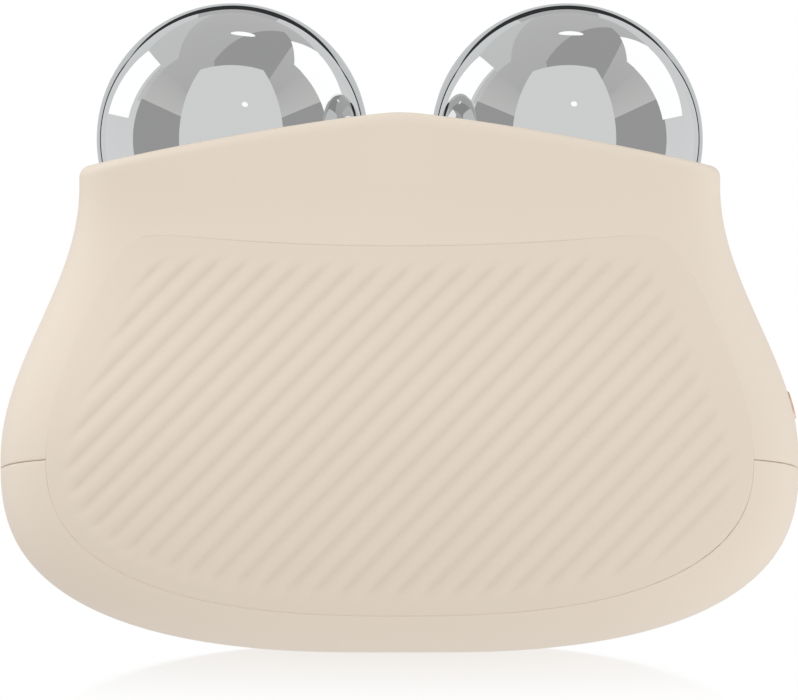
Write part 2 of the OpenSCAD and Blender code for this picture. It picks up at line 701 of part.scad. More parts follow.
// Tube through points, with rings square to the path
function unit(v) = v / max(norm(v), 1e-6);
function direction(path, i) =
    unit(path[min(i + 1, len(path) - 1)] - path[max(i - 1, 0)]);
function smooth(path, turns) = turns == 0 ? path :
    smooth(concat([path[0]], [for (i = [0:len(path) - 2])
        each [mix(path[i], path[i + 1], 0.25), mix(path[i], path[i + 1], 0.75)]],
        [path[len(path) - 1]]), turns - 1);
module wire(points, d, sides = 6) {
    path = smooth(points, 1);
    rings = [for (i = [0:len(path) - 1])
        let (t = direction(path, i), u = unit(cross(t, [0.2, 0.1, 1])), v = cross(t, u))
        [for (k = [0:sides - 1])
            path[i] + (u * cos(360 * k / sides) + v * sin(360 * k / sides)) * d / 2]];
    loft(rings, path[0], path[len(path) - 1]);
}

lead_d = 1;
module battery_leads() for (step = [-1, 1]) {
    z = plug_z + step * 0.8;
    color(step > 0 ? "#B23A32" : "#26262A") wire([
        [-battery_w / 2 + 0.2, 5.4, z], [lead_turn_x + 3.6, 5.4, z], [lead_turn_x + 1.4, 5.2, z],
        [lead_turn_x + 0.1, 3.6, z], [lead_turn_x, 0.8, z], [lead_turn_x, -2.4, z],
        [lead_turn_x + 0.6, -5, z], [lead_turn_x + 2.4, -5.9, z],
        [plug_x - plug_w / 2 - 1.4, -board_front - plug_t / 2, z],
        [plug_x - plug_w / 2 - fit, -board_front - plug_t / 2, z]], lead_d);
}

// Tip of each terminal's tab, and the pad on the board that its lead ends on
tab_local = [0, -terminal_reach, -bowl_r - terminal_t / 2];
function tilt_x(p, a) = [p.x, p.y * cos(a) - p.z * sin(a), p.y * sin(a) + p.z * cos(a)];
function tilt_y(p, a) = [p.x * cos(a) + p.z * sin(a), p.y, p.z * cos(a) - p.x * sin(a)];
tab_tip = tilt_y(tilt_x(tab_local, roof_tilt), ball_splay) + [ball_spacing / 2, ball_y, ball_z];
module ball_lead(side) color(side > 0 ? "#B23A32" : "#26262A") mirror([side > 0 ? 0 : 1, 0, 0])
    wire([tab_tip + [0, -0.1, -0.2], [14, -1.6, board_top - 0.6],
          [lead_x, -board_front + 0.4, board_top - 0.9],
          [lead_x, -board_front - 1.2, board_top - 1.4], [lead_x, -board_front - 1.7, board_top - 3],
          [lead_x, -board_front - 1, board_top - 3.6], [lead_x, -board_front - fit, board_top - 3.6]], 0.9);
module left_ball_lead() ball_lead(1);
module right_ball_lead() ball_lead(-1);

port_w = 8.94;
port_h = 3.26;
port_len = 7.3;
port_wall = 0.3;
port_gap = 0.15;
port_y = -board_back + port_h / 2;
port_z = 0.3;
module stadium(w, h, length) {
    for (side = [-1, 1]) translate([side * (w - h) / 2, 0, 0]) cylinder(d = h, h = length, $fn = 48);
    translate([-(w - h) / 2, -h / 2, 0]) cube([w - h, h, length]);
}
module charge_port() color(metal_c) translate([0, port_y, port_z]) difference() {
    stadium(port_w, port_h, port_len);
    translate([0, 0, -1]) stadium(port_w - 2 * port_wall, port_h - 2 * port_wall, port_len - port_wall + 1);
}
module charge_port_tongue() color(ink_c) translate([0, port_y, port_z])
    union() {
        translate([-3.3, -0.35, 0.9]) cube([6.6, 0.7, port_len - port_wall - 0.9]);
        translate([0, 0, port_len - port_wall - 1.2])
            stadium(port_w - 2 * port_wall - 0.1, port_h - 2 * port_wall - 0.1, 1.2);
    }

upper_housing();
lower_housing();
grip_panel();
left_ball();
right_ball();
left_ball_seat();
right_ball_seat();
ball_screws();
ball_terminals();
left_ball_lead();
right_ball_lead();
inner_frame();
main_board();
controller_chip();
boost_inductor();
output_capacitors();
buzzer();
indicator_leds();
light_guide();
power_switch();
power_switch_plunger();
power_button();
power_button_ring();
side_button();
side_button_ring();
side_switch();
side_switch_plunger();
side_board();
side_ribbon();
battery();
battery_pad();
battery_leads();
battery_connector();
charge_port();
charge_port_tongue();
housing_screws();
board_screws();
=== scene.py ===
# %% [markdown]
# # A facial toning device, seen from behind
# A palm-sized beauty tool: a bell-shaped plastic body, a ribbed rubber grip let into its back,
# and two mirror-bright metal balls that glide over the skin. Everything here is built around a
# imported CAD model, which already knows where each piece is and how the two buttons move.
# We load that model first. Every length in Blender is in metres, and the shapes below are
# worked out in millimetres, as on a drawing, so one constant turns one into the other.

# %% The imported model
import json
import math
import bpy
import numpy as np
from mathutils import Matrix, Vector


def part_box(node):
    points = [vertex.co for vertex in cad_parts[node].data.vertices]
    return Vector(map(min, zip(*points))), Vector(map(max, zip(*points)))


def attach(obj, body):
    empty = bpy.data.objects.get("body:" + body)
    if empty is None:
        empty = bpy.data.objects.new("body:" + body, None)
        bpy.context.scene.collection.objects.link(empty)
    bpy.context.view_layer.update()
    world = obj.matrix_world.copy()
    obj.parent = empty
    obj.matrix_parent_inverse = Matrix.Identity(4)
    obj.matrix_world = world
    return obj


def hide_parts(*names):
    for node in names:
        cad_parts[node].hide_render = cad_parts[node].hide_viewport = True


MM = 0.001
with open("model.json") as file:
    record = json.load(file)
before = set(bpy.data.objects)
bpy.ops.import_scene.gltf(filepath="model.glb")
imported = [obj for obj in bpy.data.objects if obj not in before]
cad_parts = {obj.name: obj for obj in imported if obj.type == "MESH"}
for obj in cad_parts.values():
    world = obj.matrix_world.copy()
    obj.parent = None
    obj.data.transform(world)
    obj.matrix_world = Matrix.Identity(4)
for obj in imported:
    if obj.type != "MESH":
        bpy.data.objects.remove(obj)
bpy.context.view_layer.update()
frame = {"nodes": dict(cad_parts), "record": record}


def box_mm(name):
    """Lowest and highest corner of a CAD node, in millimetres."""
    low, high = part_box(name)
    return np.array(low) / MM, np.array(high) / MM


# %% [markdown]
# ## The camera
# The picture is taken square to the back: both flanks show the same amount and the foot is all
# but edge-on. A long lens from far away keeps it nearly flat. The picture is 798 by 700 pixels,
# and the hips reach almost from side to side, which sets the width that the lens takes in.

# %% Camera
VIEW_WIDTH = 74.3            # mm across the picture, at the middle of the body
VIEW_CENTRE_X = 0.07         # mm, the point of the body in the middle of the picture
VIEW_CENTRE_Z = 27.75
DISTANCE = 600               # mm from the camera to that point
CAMERA_TILT = math.radians(1.75)    # the camera looks down by this much
SENSOR = 36                  # mm, a full-frame sensor

target = Vector((VIEW_CENTRE_X, 0, VIEW_CENTRE_Z)) * MM
back = Vector((0, math.cos(CAMERA_TILT), math.sin(CAMERA_TILT)))
camera_data = bpy.data.cameras.new("camera")
camera_data.sensor_width = SENSOR
camera_data.lens = SENSOR * DISTANCE / VIEW_WIDTH
camera_data.clip_end = 20
camera = bpy.data.objects.new("camera", camera_data)
bpy.context.collection.objects.link(camera)
camera.location = target + back * DISTANCE * MM
camera.rotation_euler = back.to_track_quat("Z", "Y").to_euler()
bpy.context.scene.camera = camera
print("lens in mm:", round(camera_data.lens, 1))

# %% [markdown]
# ## The surface of the body
# The body is one smooth form that two mouldings share. Every level section is a superellipse, a
# curve between an ellipse and a rectangle. Its width and depth flare from the shoulders to the
# hips along half a cosine wave, and below the hips they close into a rounded belly. The roof is
# an arch from shoulder to shoulder that also slopes down to the front. Because all of it is
# formulas, the same few functions give a mesh as fine as the picture needs.

# %% Sizes of the body
upper_low, upper_high = box_mm("upper_housing")
BODY_W = upper_high[0] - upper_low[0]
FRONT_D = -upper_low[1]
BACK_D = box_mm("grip_panel")[1][1]
NECK_W = 59.5                # mm across the shoulders
NECK_BACK_D = 13.2           # from the middle to the back, at the shoulders
NECK_FRONT_D = 13.4          # and to the front
HIP_Z = 17.6                 # height of the widest section
NECK_Z = 43                  # height at which the flare ends
BACK_H = 49.8                # top of the arch, at the back
ROOF_TILT = math.radians(28)
ARCH_SLOPE = 0.12            # how fast the arch falls to each side
ARCH_BOW = 0.0017            # per mm, how much more the arch falls further out
CROWN_R = 0.2                # rounds the arch's peak
RIM_R = 1.1                  # rounds the edge between the sides and the roof
FOOT_CUT = 0.3               # what the flat foot takes off the round belly
WALL = 2.2
SPLIT_Z = 16.25              # height of the parting plane in the middle
SPLIT_TILT = math.radians(8)
SEAM_W = 0.03                # the joint between the housings, drawn as thin as it looks
SEAM_EDGE_R = 0.15           # the soft edge that a mould leaves along the parting line
BACK_N = 3                   # exponents of the superellipses: 2 is an ellipse, more is squarer
FRONT_N = 2.6
BELLY_N = 2.65


def mix(a, b, t):
    return a + (b - a) * t


def signed_power(v, n):
    return np.sign(v) * np.abs(v) ** n


def flare(z):
    """1 at the hips, easing to 0 at the shoulders."""
    return (1 + np.cos(np.pi * np.clip((z - HIP_Z) / (NECK_Z - HIP_Z), 0, 1))) / 2


def belly(z, inset):
    """1 at the hips, falling to the foot along a rounded belly."""
    fall = np.clip((HIP_Z - z) / (HIP_Z + FOOT_CUT - inset), 0, 1)
    return (1 - fall ** BELLY_N) ** (1 / BELLY_N)


def reach(z, hip, neck, inset):
    """Reach of the body in one direction, from what it is at the hips and at the neck."""
    z, inset = np.broadcast_arrays(np.asarray(z, float), np.asarray(inset, float))
    return np.where(z < HIP_Z, (hip - inset) * belly(z, inset), mix(neck, hip, flare(z)) - inset)


def half_width(z, inset=0):
    return reach(z, BODY_W / 2, NECK_W / 2, inset)


def depth_back(z, inset=0):
    return reach(z, BACK_D, NECK_BACK_D, inset)


def depth_front(z, inset=0):
    return reach(z, FRONT_D, NECK_FRONT_D, inset)


def section(angle, z, inset=0):
    """Points of the level section at height z; the back half takes the angles from 0 to pi."""
    behind = np.sin(angle) >= 0
    n = np.where(behind, BACK_N, FRONT_N)
    depth = np.where(behind, depth_back(z, inset), depth_front(z, inset))
    x = half_width(z, inset) * signed_power(np.cos(angle), 2 / n)
    y = depth * signed_power(np.sin(angle), 2 / n)
    return np.stack(np.broadcast_arrays(x, y, z), -1)


def back_y(x, z):
    """How far the back reaches at x, z."""
    side = np.clip(np.abs(x) / half_width(z), 0, 1)
    return depth_back(z) * (1 - side ** BACK_N) ** (1 / BACK_N)


def front_y(x, z):
    side = np.clip(np.abs(x) / half_width(z), 0, 1)
    return -depth_front(z) * (1 - side ** FRONT_N) ** (1 / FRONT_N)


def roof(x, y):
    """Height of the roof over x, y."""
    arch = np.hypot(CROWN_R, ARCH_SLOPE * x) - CROWN_R + ARCH_BOW * x * x
    side = np.clip(np.abs(x) / (NECK_W / 2), 0, 1)
    edge_y = NECK_BACK_D * (1 - side ** BACK_N) ** (1 / BACK_N)
    return BACK_H - arch - (edge_y - y) * math.tan(ROOF_TILT)


# %% [markdown]
# A superellipse drawn by angle bunches its points at the corners and leaves gaps in the flat
# stretches, which would show as facets. So the angles are spread by walking round one
# section and taking a step every few tenths of a millimetre.

# %% Evenly spaced columns
WALK_STEPS = 20000           # small steps of the walk round a section
TRIES = 12                   # rounds after which a height no longer changes


def even_angles(count):
    fine = np.linspace(0, 2 * np.pi, WALK_STEPS + 1)
    path = section(fine, HIP_Z)
    walked = np.concatenate([[0], np.cumsum(np.linalg.norm(np.diff(path, axis=0), axis=1))])
    return np.interp(np.arange(count) / count * walked[-1], walked, fine)


def rim_height(angles, inset=0):
    """Height at which the side meets the roof, found by trying the last answer again."""
    z = np.full_like(angles, NECK_Z)
    for _ in range(TRIES):
        p = section(angles, z, inset)
        z = roof(p[:, 0], p[:, 1]) - inset / math.cos(ROOF_TILT)
    return z


def split_height(angles, shift=0):
    """Height at which the parting plane, raised by shift, meets the surface."""
    z = np.full_like(angles, SPLIT_Z)
    for _ in range(TRIES):
        z = SPLIT_Z + shift + section(angles, z)[:, 1] * math.tan(SPLIT_TILT)
    return z


# %% [markdown]
# ## From points to pieces
# A loft joins rings of points into a closed skin. Holes and recesses are then cut with Blender's
# Boolean, whose Manifold solver is quick and exact on closed meshes. A cut that is to have a
# rounded edge uses a cutter that flares out at the surface like the bell of a trumpet: what it
# leaves behind is the small radius that real mouldings have, and that catches the light.

# %% Mesh tools


def loft(rings, low=None, high=None):
    """Vertices and faces of a skin over rings, closed by a fan to each end point if given."""
    rings = np.asarray(rings)
    count, around = rings.shape[:2]
    points = rings.reshape(-1, 3)
    k, j = np.meshgrid(np.arange(count - 1), np.arange(around), indexing="ij")
    a = (k * around + j).ravel()
    b = (k * around + (j + 1) % around).ravel()
    faces = np.stack([a, b, b + around, a + around], -1).tolist()
    if low is not None:
        points = np.vstack([points, low])
        faces += [[len(points) - 1, (s + 1) % around, s] for s in range(around)]
    if high is not None:
        points = np.vstack([points, high])
        top = (count - 1) * around
        faces += [[len(points) - 1, top + s, top + (s + 1) % around] for s in range(around)]
    return points, faces


def tube(rings):
    """Vertices and faces of a skin over rings whose last ring joins the first one again."""
    points, faces = loft(rings)
    around = len(rings[0])
    last = (len(rings) - 1) * around
    faces += [[last + s, last + (s + 1) % around, (s + 1) % around, s] for s in range(around)]
    return points, faces


def make_piece(name, points, faces):
    """A mesh object from points in millimetres."""
    mesh = bpy.data.meshes.new(name)
    mesh.from_pydata((np.asarray(points) * MM).tolist(), [], faces)
    mesh.validate()
    piece = bpy.data.objects.new(name, mesh)
    bpy.context.collection.objects.link(piece)
    return piece


def boolean(piece, other, operation):
    """Cuts, joins or intersects piece with other, which is used up."""
    modifier = piece.modifiers.new("boolean", "BOOLEAN")
    modifier.operation = operation
    modifier.solver = "MANIFOLD"
    modifier.object = other
    graph = bpy.context.evaluated_depsgraph_get()
    mesh = bpy.data.meshes.new_from_object(piece.evaluated_get(graph))
    piece.modifiers.clear()
    old = piece.data
    piece.data = mesh
    bpy.data.meshes.remove(old)
    bpy.data.meshes.remove(other.data)
    return piece


def smooth(piece, sharp_above=35):
    """Smooth shading, with an edge kept sharp where it turns by more than so many degrees."""
    piece.data.polygons.foreach_set("use_smooth", [True] * len(piece.data.polygons))
    piece.data.set_sharp_from_angle(angle=math.radians(sharp_above))
    return piece


def finish(piece, slot):
    piece.data.materials.clear()
    piece.data.materials.append(finishes[slot])


def dress(piece, body, slot, *nodes):
    """Rides on a body, stands for CAD nodes and takes the finish of a material slot."""
    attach(piece, body)
    if nodes:
        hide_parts(*nodes)
    finish(piece, slot)


# %% [markdown]
# ## Finishes
# Each finish starts from the real material and how its surface was made. Colours are written as
# sRGB hex values, as a colour picker shows them, and one function turns them to the linear
# values that a renderer works in. One more function adds a node with its settings and its
# links, so that each material below reads as a short recipe.

# %% Helpers for finishes
finishes = {}


def linear(hex_colour):
    """sRGB hex to the linear colour that shaders take."""
    parts = [int(hex_colour[i:i + 2], 16) / 255 for i in (1, 3, 5)]
    return tuple(c / 12.92 if c <= 0.04045 else ((c + 0.055) / 1.055) ** 2.4 for c in parts) + (1,)


def add(tree, kind, inputs=None, **settings):
    """Adds a node; an input is a plain value, or an output socket that it is linked from."""
    node = tree.nodes.new(kind)
    for key, value in settings.items():
        setattr(node, key, value)
    for key, value in (inputs or {}).items():
        if isinstance(value, bpy.types.NodeSocket):
            tree.links.new(value, node.inputs[key])
        else:
            node.inputs[key].default_value = value
    return node


def blank_material(name):
    """A material without nodes, and its node tree."""
    material = bpy.data.materials.new(name)
    material.use_nodes = True
    material.node_tree.nodes.clear()
    return material, material.node_tree


def new_finish(slot):
    """The material of a slot: its node tree, with a Principled shader on the output."""
    finishes[slot], tree = blank_material(slot)
    shader = add(tree, "ShaderNodeBsdfPrincipled")
    add(tree, "ShaderNodeOutputMaterial", {"Surface": shader.outputs["BSDF"]})
    return tree, shader


# %% [markdown]
# ### Soft-touch plastic and silicone rubber
# The body is ABS with a soft-touch coat: a warm beige that scatters nearly all its light, with a
# broad, faint sheen. Its texture is a spark-eroded mould finish with a grain of about 0.15 mm,
# too fine to see as dots from here, so it only breaks up the highlights. The colour drifts very
# slightly over centimetres, as pigment does when it flows in a mould. The grip panel is the
# same colour in silicone, a little softer and with a finer grain.

# %% Beige mouldings
GRAIN = 0.15                 # mm, size of the eroded grain
DRIFT = 22                   # mm, size of the clouds in the pigment
GRAIN_ROUGHNESS = 0.06       # how far the roughness swings from grain to grain


def beige_moulding(slot, colour, cloud, roughness, grain, depth, sheen):
    tree, shader = new_finish(slot)
    place = add(tree, "ShaderNodeTexCoord").outputs["Object"]
    clouds = add(tree, "ShaderNodeTexNoise",
                 {"Vector": place, "Scale": 1 / (DRIFT * MM), "Detail": 3}).outputs["Fac"]
    grains = add(tree, "ShaderNodeTexNoise",
                 {"Vector": place, "Scale": 1 / (grain * MM), "Detail": 2}).outputs["Fac"]
    tint = add(tree, "ShaderNodeMix", {"Factor": clouds, "A": linear(colour), "B": linear(cloud)},
               data_type="RGBA")
    bump = add(tree, "ShaderNodeBump", {"Height": grains, "Strength": 0.35, "Distance": depth * MM})
    rough = add(tree, "ShaderNodeMapRange", {"Value": grains, "To Min": roughness - GRAIN_ROUGHNESS,
                                             "To Max": roughness + GRAIN_ROUGHNESS})
    tree.links.new(tint.outputs["Result"], shader.inputs["Base Color"])
    tree.links.new(bump.outputs["Normal"], shader.inputs["Normal"])
    tree.links.new(rough.outputs["Result"], shader.inputs["Roughness"])
    shader.inputs["IOR"].default_value = 1.46
    shader.inputs["Specular IOR Level"].default_value = 0.35
    shader.inputs["Sheen Weight"].default_value = sheen
    shader.inputs["Sheen Roughness"].default_value = 0.6
    shader.inputs["Sheen Tint"].default_value = linear("#F6EBDD")


beige_moulding("soft_touch_shell", "#E3D6C6", "#E1D3C3", 0.58, GRAIN, 0.012, 0.06)
beige_moulding("grip_rubber", "#E1D4C4", "#DFD1C0", 0.64, 0.1, 0.01, 0.08)
beige_moulding("button_plastic", "#E3D6C6", "#E1D3C3", 0.5, GRAIN, 0.008, 0.03)
beige_moulding("seat_plastic", "#DDD0C0", "#D9CCBB", 0.5, 0.2, 0.01, 0)
print("beige mouldings:", ", ".join(finishes))

# %% [markdown]
# ### Polished and plated metal
# The balls are brass, polished and plated with chrome: a hard mirror with a slightly cool
# reflection. Chrome isn't perfectly even, so its roughness varies a little, as with fingermarks
# that have been wiped. The trim rings are copper-coloured plating, satin rather than mirror. A
# metal's look comes from its base colour, so its IOR stays at the default.

# %% Metals


def plated_metal(slot, colour, other, smoothest, roughest, patch):
    """A metal whose colour and roughness change in patches of a size in mm."""
    tree, shader = new_finish(slot)
    place = add(tree, "ShaderNodeTexCoord").outputs["Object"]
    wipes = add(tree, "ShaderNodeTexNoise",
                {"Vector": place, "Scale": 1 / (patch * MM), "Detail": 4}).outputs["Fac"]
    rough = add(tree, "ShaderNodeMapRange",
                {"Value": wipes, "To Min": smoothest, "To Max": roughest})
    tint = add(tree, "ShaderNodeMix", {"Factor": wipes, "A": linear(colour), "B": linear(other)},
               data_type="RGBA")
    tree.links.new(rough.outputs["Result"], shader.inputs["Roughness"])
    tree.links.new(tint.outputs["Result"], shader.inputs["Base Color"])
    shader.inputs["Metallic"].default_value = 1


plated_metal("ball_chrome", "#E7E7E7", "#E4E5E5", 0.01, 0.03, 6)
plated_metal("copper_trim", "#F2D2BF", "#EDCAB4", 0.35, 0.45, 2)
plated_metal("steel", "#C4C7CA", "#B7BABE", 0.22, 0.36, 1.5)
plated_metal("tinned_brass", "#D2C79A", "#C8BC8C", 0.25, 0.4, 1.5)
plated_metal("can_aluminium", "#C6CACE", "#BEC2C6", 0.3, 0.42, 1.2)
plated_metal("cell_pouch", "#B4B9BE", "#A9AEB4", 0.3, 0.5, 4)

# %% [markdown]
# ### What is inside
# The pieces inside never show while the housings are closed, but each gets the finish of its
# real material all the same: a glass-fibre board under green solder resist, black moulded
# resin, ferrite, nylon, foam and vinyl wire jackets. So a section through the model looks right.

# %% Inner finishes


def moulded(slot, colour, other, roughness, grain, depth):
    """A plastic, resin or foam with a fine grain; grain and depth are in mm."""
    tree, shader = new_finish(slot)
    place = add(tree, "ShaderNodeTexCoord").outputs["Object"]
    grains = add(tree, "ShaderNodeTexNoise",
                 {"Vector": place, "Scale": 1 / (grain * MM), "Detail": 3}).outputs["Fac"]
    bump = add(tree, "ShaderNodeBump", {"Height": grains, "Strength": 0.5, "Distance": depth * MM})
    tint = add(tree, "ShaderNodeMix", {"Factor": grains, "A": linear(colour), "B": linear(other)},
               data_type="RGBA")
    tree.links.new(tint.outputs["Result"], shader.inputs["Base Color"])
    tree.links.new(bump.outputs["Normal"], shader.inputs["Normal"])
    shader.inputs["Roughness"].default_value = roughness
    return shader


moulded("frame_plastic", "#3B3A38", "#343331", 0.55, 0.3, 0.02)
moulded("board_laminate", "#2F6B4F", "#2A6248", 0.35, 0.5, 0.02)
moulded("chip_resin", "#2A2A2B", "#323233", 0.5, 0.1, 0.01)
moulded("ferrite", "#5C5A58", "#676562", 0.7, 0.2, 0.03)
moulded("led_resin", "#F3EFD9", "#EFEACF", 0.3, 0.5, 0.005)
moulded("plunger_plastic", "#C8452F", "#C14029", 0.45, 0.3, 0.01)
moulded("ribbon_film", "#C9822F", "#BF7826", 0.3, 1.2, 0.01)
moulded("foam", "#55524E", "#4A4743", 0.9, 0.4, 0.15)
moulded("connector_nylon", "#EDE9DD", "#E7E2D4", 0.4, 0.3, 0.01)
moulded("lead_jacket", "#7A2420", "#6E1F1B", 0.45, 0.6, 0.02)
clear_guide = moulded("clear_guide", "#F2F5F7", "#E8EDF0", 0.25, 0.2, 0.01)
clear_guide.inputs["Transmission Weight"].default_value = 0.6
clear_guide.inputs["IOR"].default_value = 1.49

for part in frame["record"]["subparts"]:
    finish(frame["nodes"][part["node"]], part["material_slot"])
print("finishes:", len(finishes))

# %% [markdown]
# ## The two housings
# The upper housing starts at the parting line with a soft edge, runs up the sides, turns over
# the rounded rim and closes across the roof. The lower one runs from the flat foot up the
# belly to the same parting line. Both are lofted as solids and hollowed with a smaller body, so
# they are real shells with a wall of 2.2 mm.

# %% Solids of the housings
COLUMNS = 420
BELLY_ROWS = 1.8             # power that crowds the rows towards the foot, where the belly curls in
ROOF_ROWS = 1.6              # and towards the rim
ROOF_BLEND = 12              # power that lets the roof take the rim's height only close to it
angles = even_angles(COLUMNS)


def quarter(steps):
    """Angles of a quarter turn, in steps."""
    return np.linspace(0, np.pi / 2, steps + 1)


def roof_rings(edge, shares, drop=0):
    """Rings across the roof, each a share of the rim as wide; drop lowers the roof."""
    rings = []
    for t in shares:
        x, y = edge[:, 0] * t, edge[:, 1] * t
        rings.append(np.stack([x, y, mix(roof(x, y) - drop, edge[:, 2], t ** ROOF_BLEND)], -1))
    return rings


def upper_solid(rows=100, roof_rows=45):
    start = split_height(angles, SEAM_W)
    tops = rim_height(angles)
    rings = [section(angles, start + SEAM_EDGE_R * (1 - np.cos(a)), SEAM_EDGE_R * (1 - np.sin(a)))
             for a in quarter(4)]
    rings += [section(angles, mix(start + SEAM_EDGE_R, tops - RIM_R, (k + 1) / rows))
              for k in range(rows)]
    rings += [section(angles, tops - RIM_R * (1 - np.sin(a)), RIM_R * (1 - np.cos(a)))
              for a in quarter(10)[1:]]
    rings += roof_rings(rings[-1], 1 - np.linspace(0, 1, roof_rows + 1)[1:-1] ** ROOF_ROWS)
    ends = [0, 0, SPLIT_Z + SEAM_W], [0, 0, roof(0, 0)]
    return make_piece("upper_housing_shell", *loft(rings, *ends))


def lower_solid(rows=80):
    stop = split_height(angles)
    rings = [section(angles, (stop - SEAM_EDGE_R) * (k / rows) ** BELLY_ROWS)
             for k in range(rows + 1)]
    rings += [section(angles, stop - SEAM_EDGE_R * (1 - np.sin(a)), SEAM_EDGE_R * (1 - np.cos(a)))
              for a in quarter(4)[1:]]
    return make_piece("lower_housing_shell", *loft(rings, [0, 0, 0], [0, 0, SPLIT_Z]))


def hollow(inset=WALL, columns=96, rows=24):
    """The space inside, which both housings lose."""
    turns = even_angles(columns)
    tops = rim_height(turns, inset)
    rings = [section(turns, np.full(columns, mix(inset, HIP_Z, (k / rows) ** BELLY_ROWS)), inset)
             for k in range(rows)]
    rings += [section(turns, mix(HIP_Z, tops, k / rows), inset) for k in range(rows + 1)]
    drop = inset / math.cos(ROOF_TILT)
    rings += roof_rings(rings[-1], (0.9, 0.7, 0.5, 0.3), drop)
    return make_piece("hollow", *loft(rings, [0, 0, inset], [0, 0, roof(0, 0) - drop]))


upper = upper_solid()
lower = lower_solid()
print("points before cutting:", len(upper.data.vertices), "and", len(lower.data.vertices))

# %% [markdown]
# ## Cutters with a flared edge
# A cutter follows an outline, drawn in its own plane, down through the surface to a depth. Near the
# surface its wall turns outward through a quarter circle, so the cut gets a rounded edge.
# The surface is curved, so the height at which the flare sits is worked out point by point.

# %% Flared cutters
FLARE_TURN = 75              # degrees that the wall turns outward
FLARE_RUN = 0.4              # mm by which it then runs straight on, out of the surface


def outward(outline):
    """Unit normals of a closed outline that runs anticlockwise."""
    along = np.roll(outline, -1, 0) - np.roll(outline, 1, 0)
    normal = np.stack([along[:, 1], -along[:, 0]], -1)
    return normal / np.linalg.norm(normal, axis=1, keepdims=True)


def flared_cutter(name, outline, surface, to_space, depth, edge_r, cap_rings=1, above=3):
    """A closed cutter along an outline; surface gives the height above the outline's plane."""
    normal = outward(outline)
    middle = outline.mean(0)
    edge_r = np.broadcast_to(edge_r, len(outline))
    rings = []
    for t in (np.arange(cap_rings) + 1) / cap_rings:
        flat = middle + (outline - middle) * t
        rings.append(np.column_stack([flat, surface(flat[:, 0], flat[:, 1]) - depth]))
    for a in np.linspace(0, math.radians(FLARE_TURN), 6):
        flat = outline + normal * edge_r[:, None] * (1 - math.cos(a))
        height = surface(flat[:, 0], flat[:, 1]) - edge_r * (1 - math.sin(a))
        rings.append(np.column_stack([flat, height]))
    last = rings[-1].copy()
    last[:, :2] += normal * FLARE_RUN
    last[:, 2] += FLARE_RUN * math.tan(math.radians(90 - FLARE_TURN))
    rings += [last, last + [0, 0, above]]
    low = [*middle, float(surface(*middle)) - depth]
    high = [*middle, float(surface(*middle)) + above + 1]
    points, faces = loft(rings, low, high)
    return make_piece(name, to_space(points), faces)


def circle(radius, count=96):
    turn = np.arange(count) / count * 2 * np.pi
    return np.stack([radius * np.cos(turn), radius * np.sin(turn)], -1)


def pill(radius, length, count=96):
    """A slot outline whose long way runs along its second axis."""
    turn = np.arange(count) / count * 2 * np.pi
    ends = np.where(np.sin(turn) >= 0, 1, -1) * (length / 2 - radius)
    return np.stack([radius * np.cos(turn), radius * np.sin(turn) + ends], -1)


# %% [markdown]
# ## The grip panel
# The outline has a tapering top with tight corners over a rounded bowl. The ribs run across it
# at 45 degrees: soft pillows with narrow valleys between them, like the absolute value of a
# sine wave. The valleys fade out before the edge. The mesh follows the ribs, with 14 rows to
# each, so the valleys stay crisp without millions of faces.

# %% Panel outline and ribs
PANEL_W = 64.4
PANEL_Z = 18.4               # height at which the panel is widest
PANEL_UP = 19.2              # mm that it reaches above and below that
PANEL_DOWN = 14.35
PANEL_T = 1.4                # mm thick
PANEL_TAPER = 0.0619         # how the sides draw in towards the top, with TAPER_N as power
TAPER_N = 1.6
PANEL_DIP = 0.0022           # per mm, how much the top edge sags in the middle
CORNER_N = 18                # power of the tight upper corners
BOWL_N = 2.5                 # power of the rounded bowl
PANEL_GAP = 0.02             # room that the recess leaves
PANEL_FIT = 0.03             # the rubber presses into the housing, so no slit stays open
PANEL_EDGE_R = 0.14
EDGE_FADE = (0.12, 1)        # share of the edge radius at the upper corners and at the bottom
RIB_PITCH = 1.81
RIB_ANGLE = math.radians(44.9)
RIB_START = 1.05             # from the foot to the first valley, measured across the ribs
RIB_H = 0.45                 # depth of a valley
VALLEY_ROUND = 0.14          # how round its bottom is
RIB_FADE = (1.1, 3.1)        # mm from the outline, where a valley begins and is at full depth
RIB_SIDE = 1.2               # mm by which valleys begin later at the upper sides
SIDE_FROM = 18               # mm from the middle where that sets in, and SIDE_RUN later it is full
SIDE_RUN = 8
OUTLINE_STEPS = 6000         # points of the outline where it has to be exact
FAR_AWAY = 90.0              # mm, further than the panel reaches
HALVINGS = 40
rib_along = np.array([-math.cos(RIB_ANGLE), math.sin(RIB_ANGLE)])
rib_across = np.array([math.sin(RIB_ANGLE), math.cos(RIB_ANGLE)])


def panel_in(p, grow=0):
    """Below 1 inside the panel's outline, for points given as x, z."""
    x, dz = p[..., 0], p[..., 1] - PANEL_Z
    half = PANEL_W / 2 + grow
    up = np.maximum(dz, 0)
    bowl = (np.abs(x) / half) ** BOWL_N + (np.maximum(-dz, 0) / (PANEL_DOWN + grow)) ** BOWL_N
    top = ((np.abs(x) / (half - PANEL_TAPER * up ** TAPER_N)) ** CORNER_N
           + (up / (PANEL_UP + grow + PANEL_DIP * x * x)) ** CORNER_N)
    return np.where(dz < 0, bowl, top)


def to_edge(p, direction, grow=0):
    """Distance from each point to the outline along a direction, by halving."""
    low = np.zeros(len(p))
    high = np.full(len(p), FAR_AWAY)
    for _ in range(HALVINGS):
        middle = (low + high) / 2
        inside = panel_in(p + direction * middle[:, None], grow) < 1
        low = np.where(inside, middle, low)
        high = np.where(inside, high, middle)
    return low


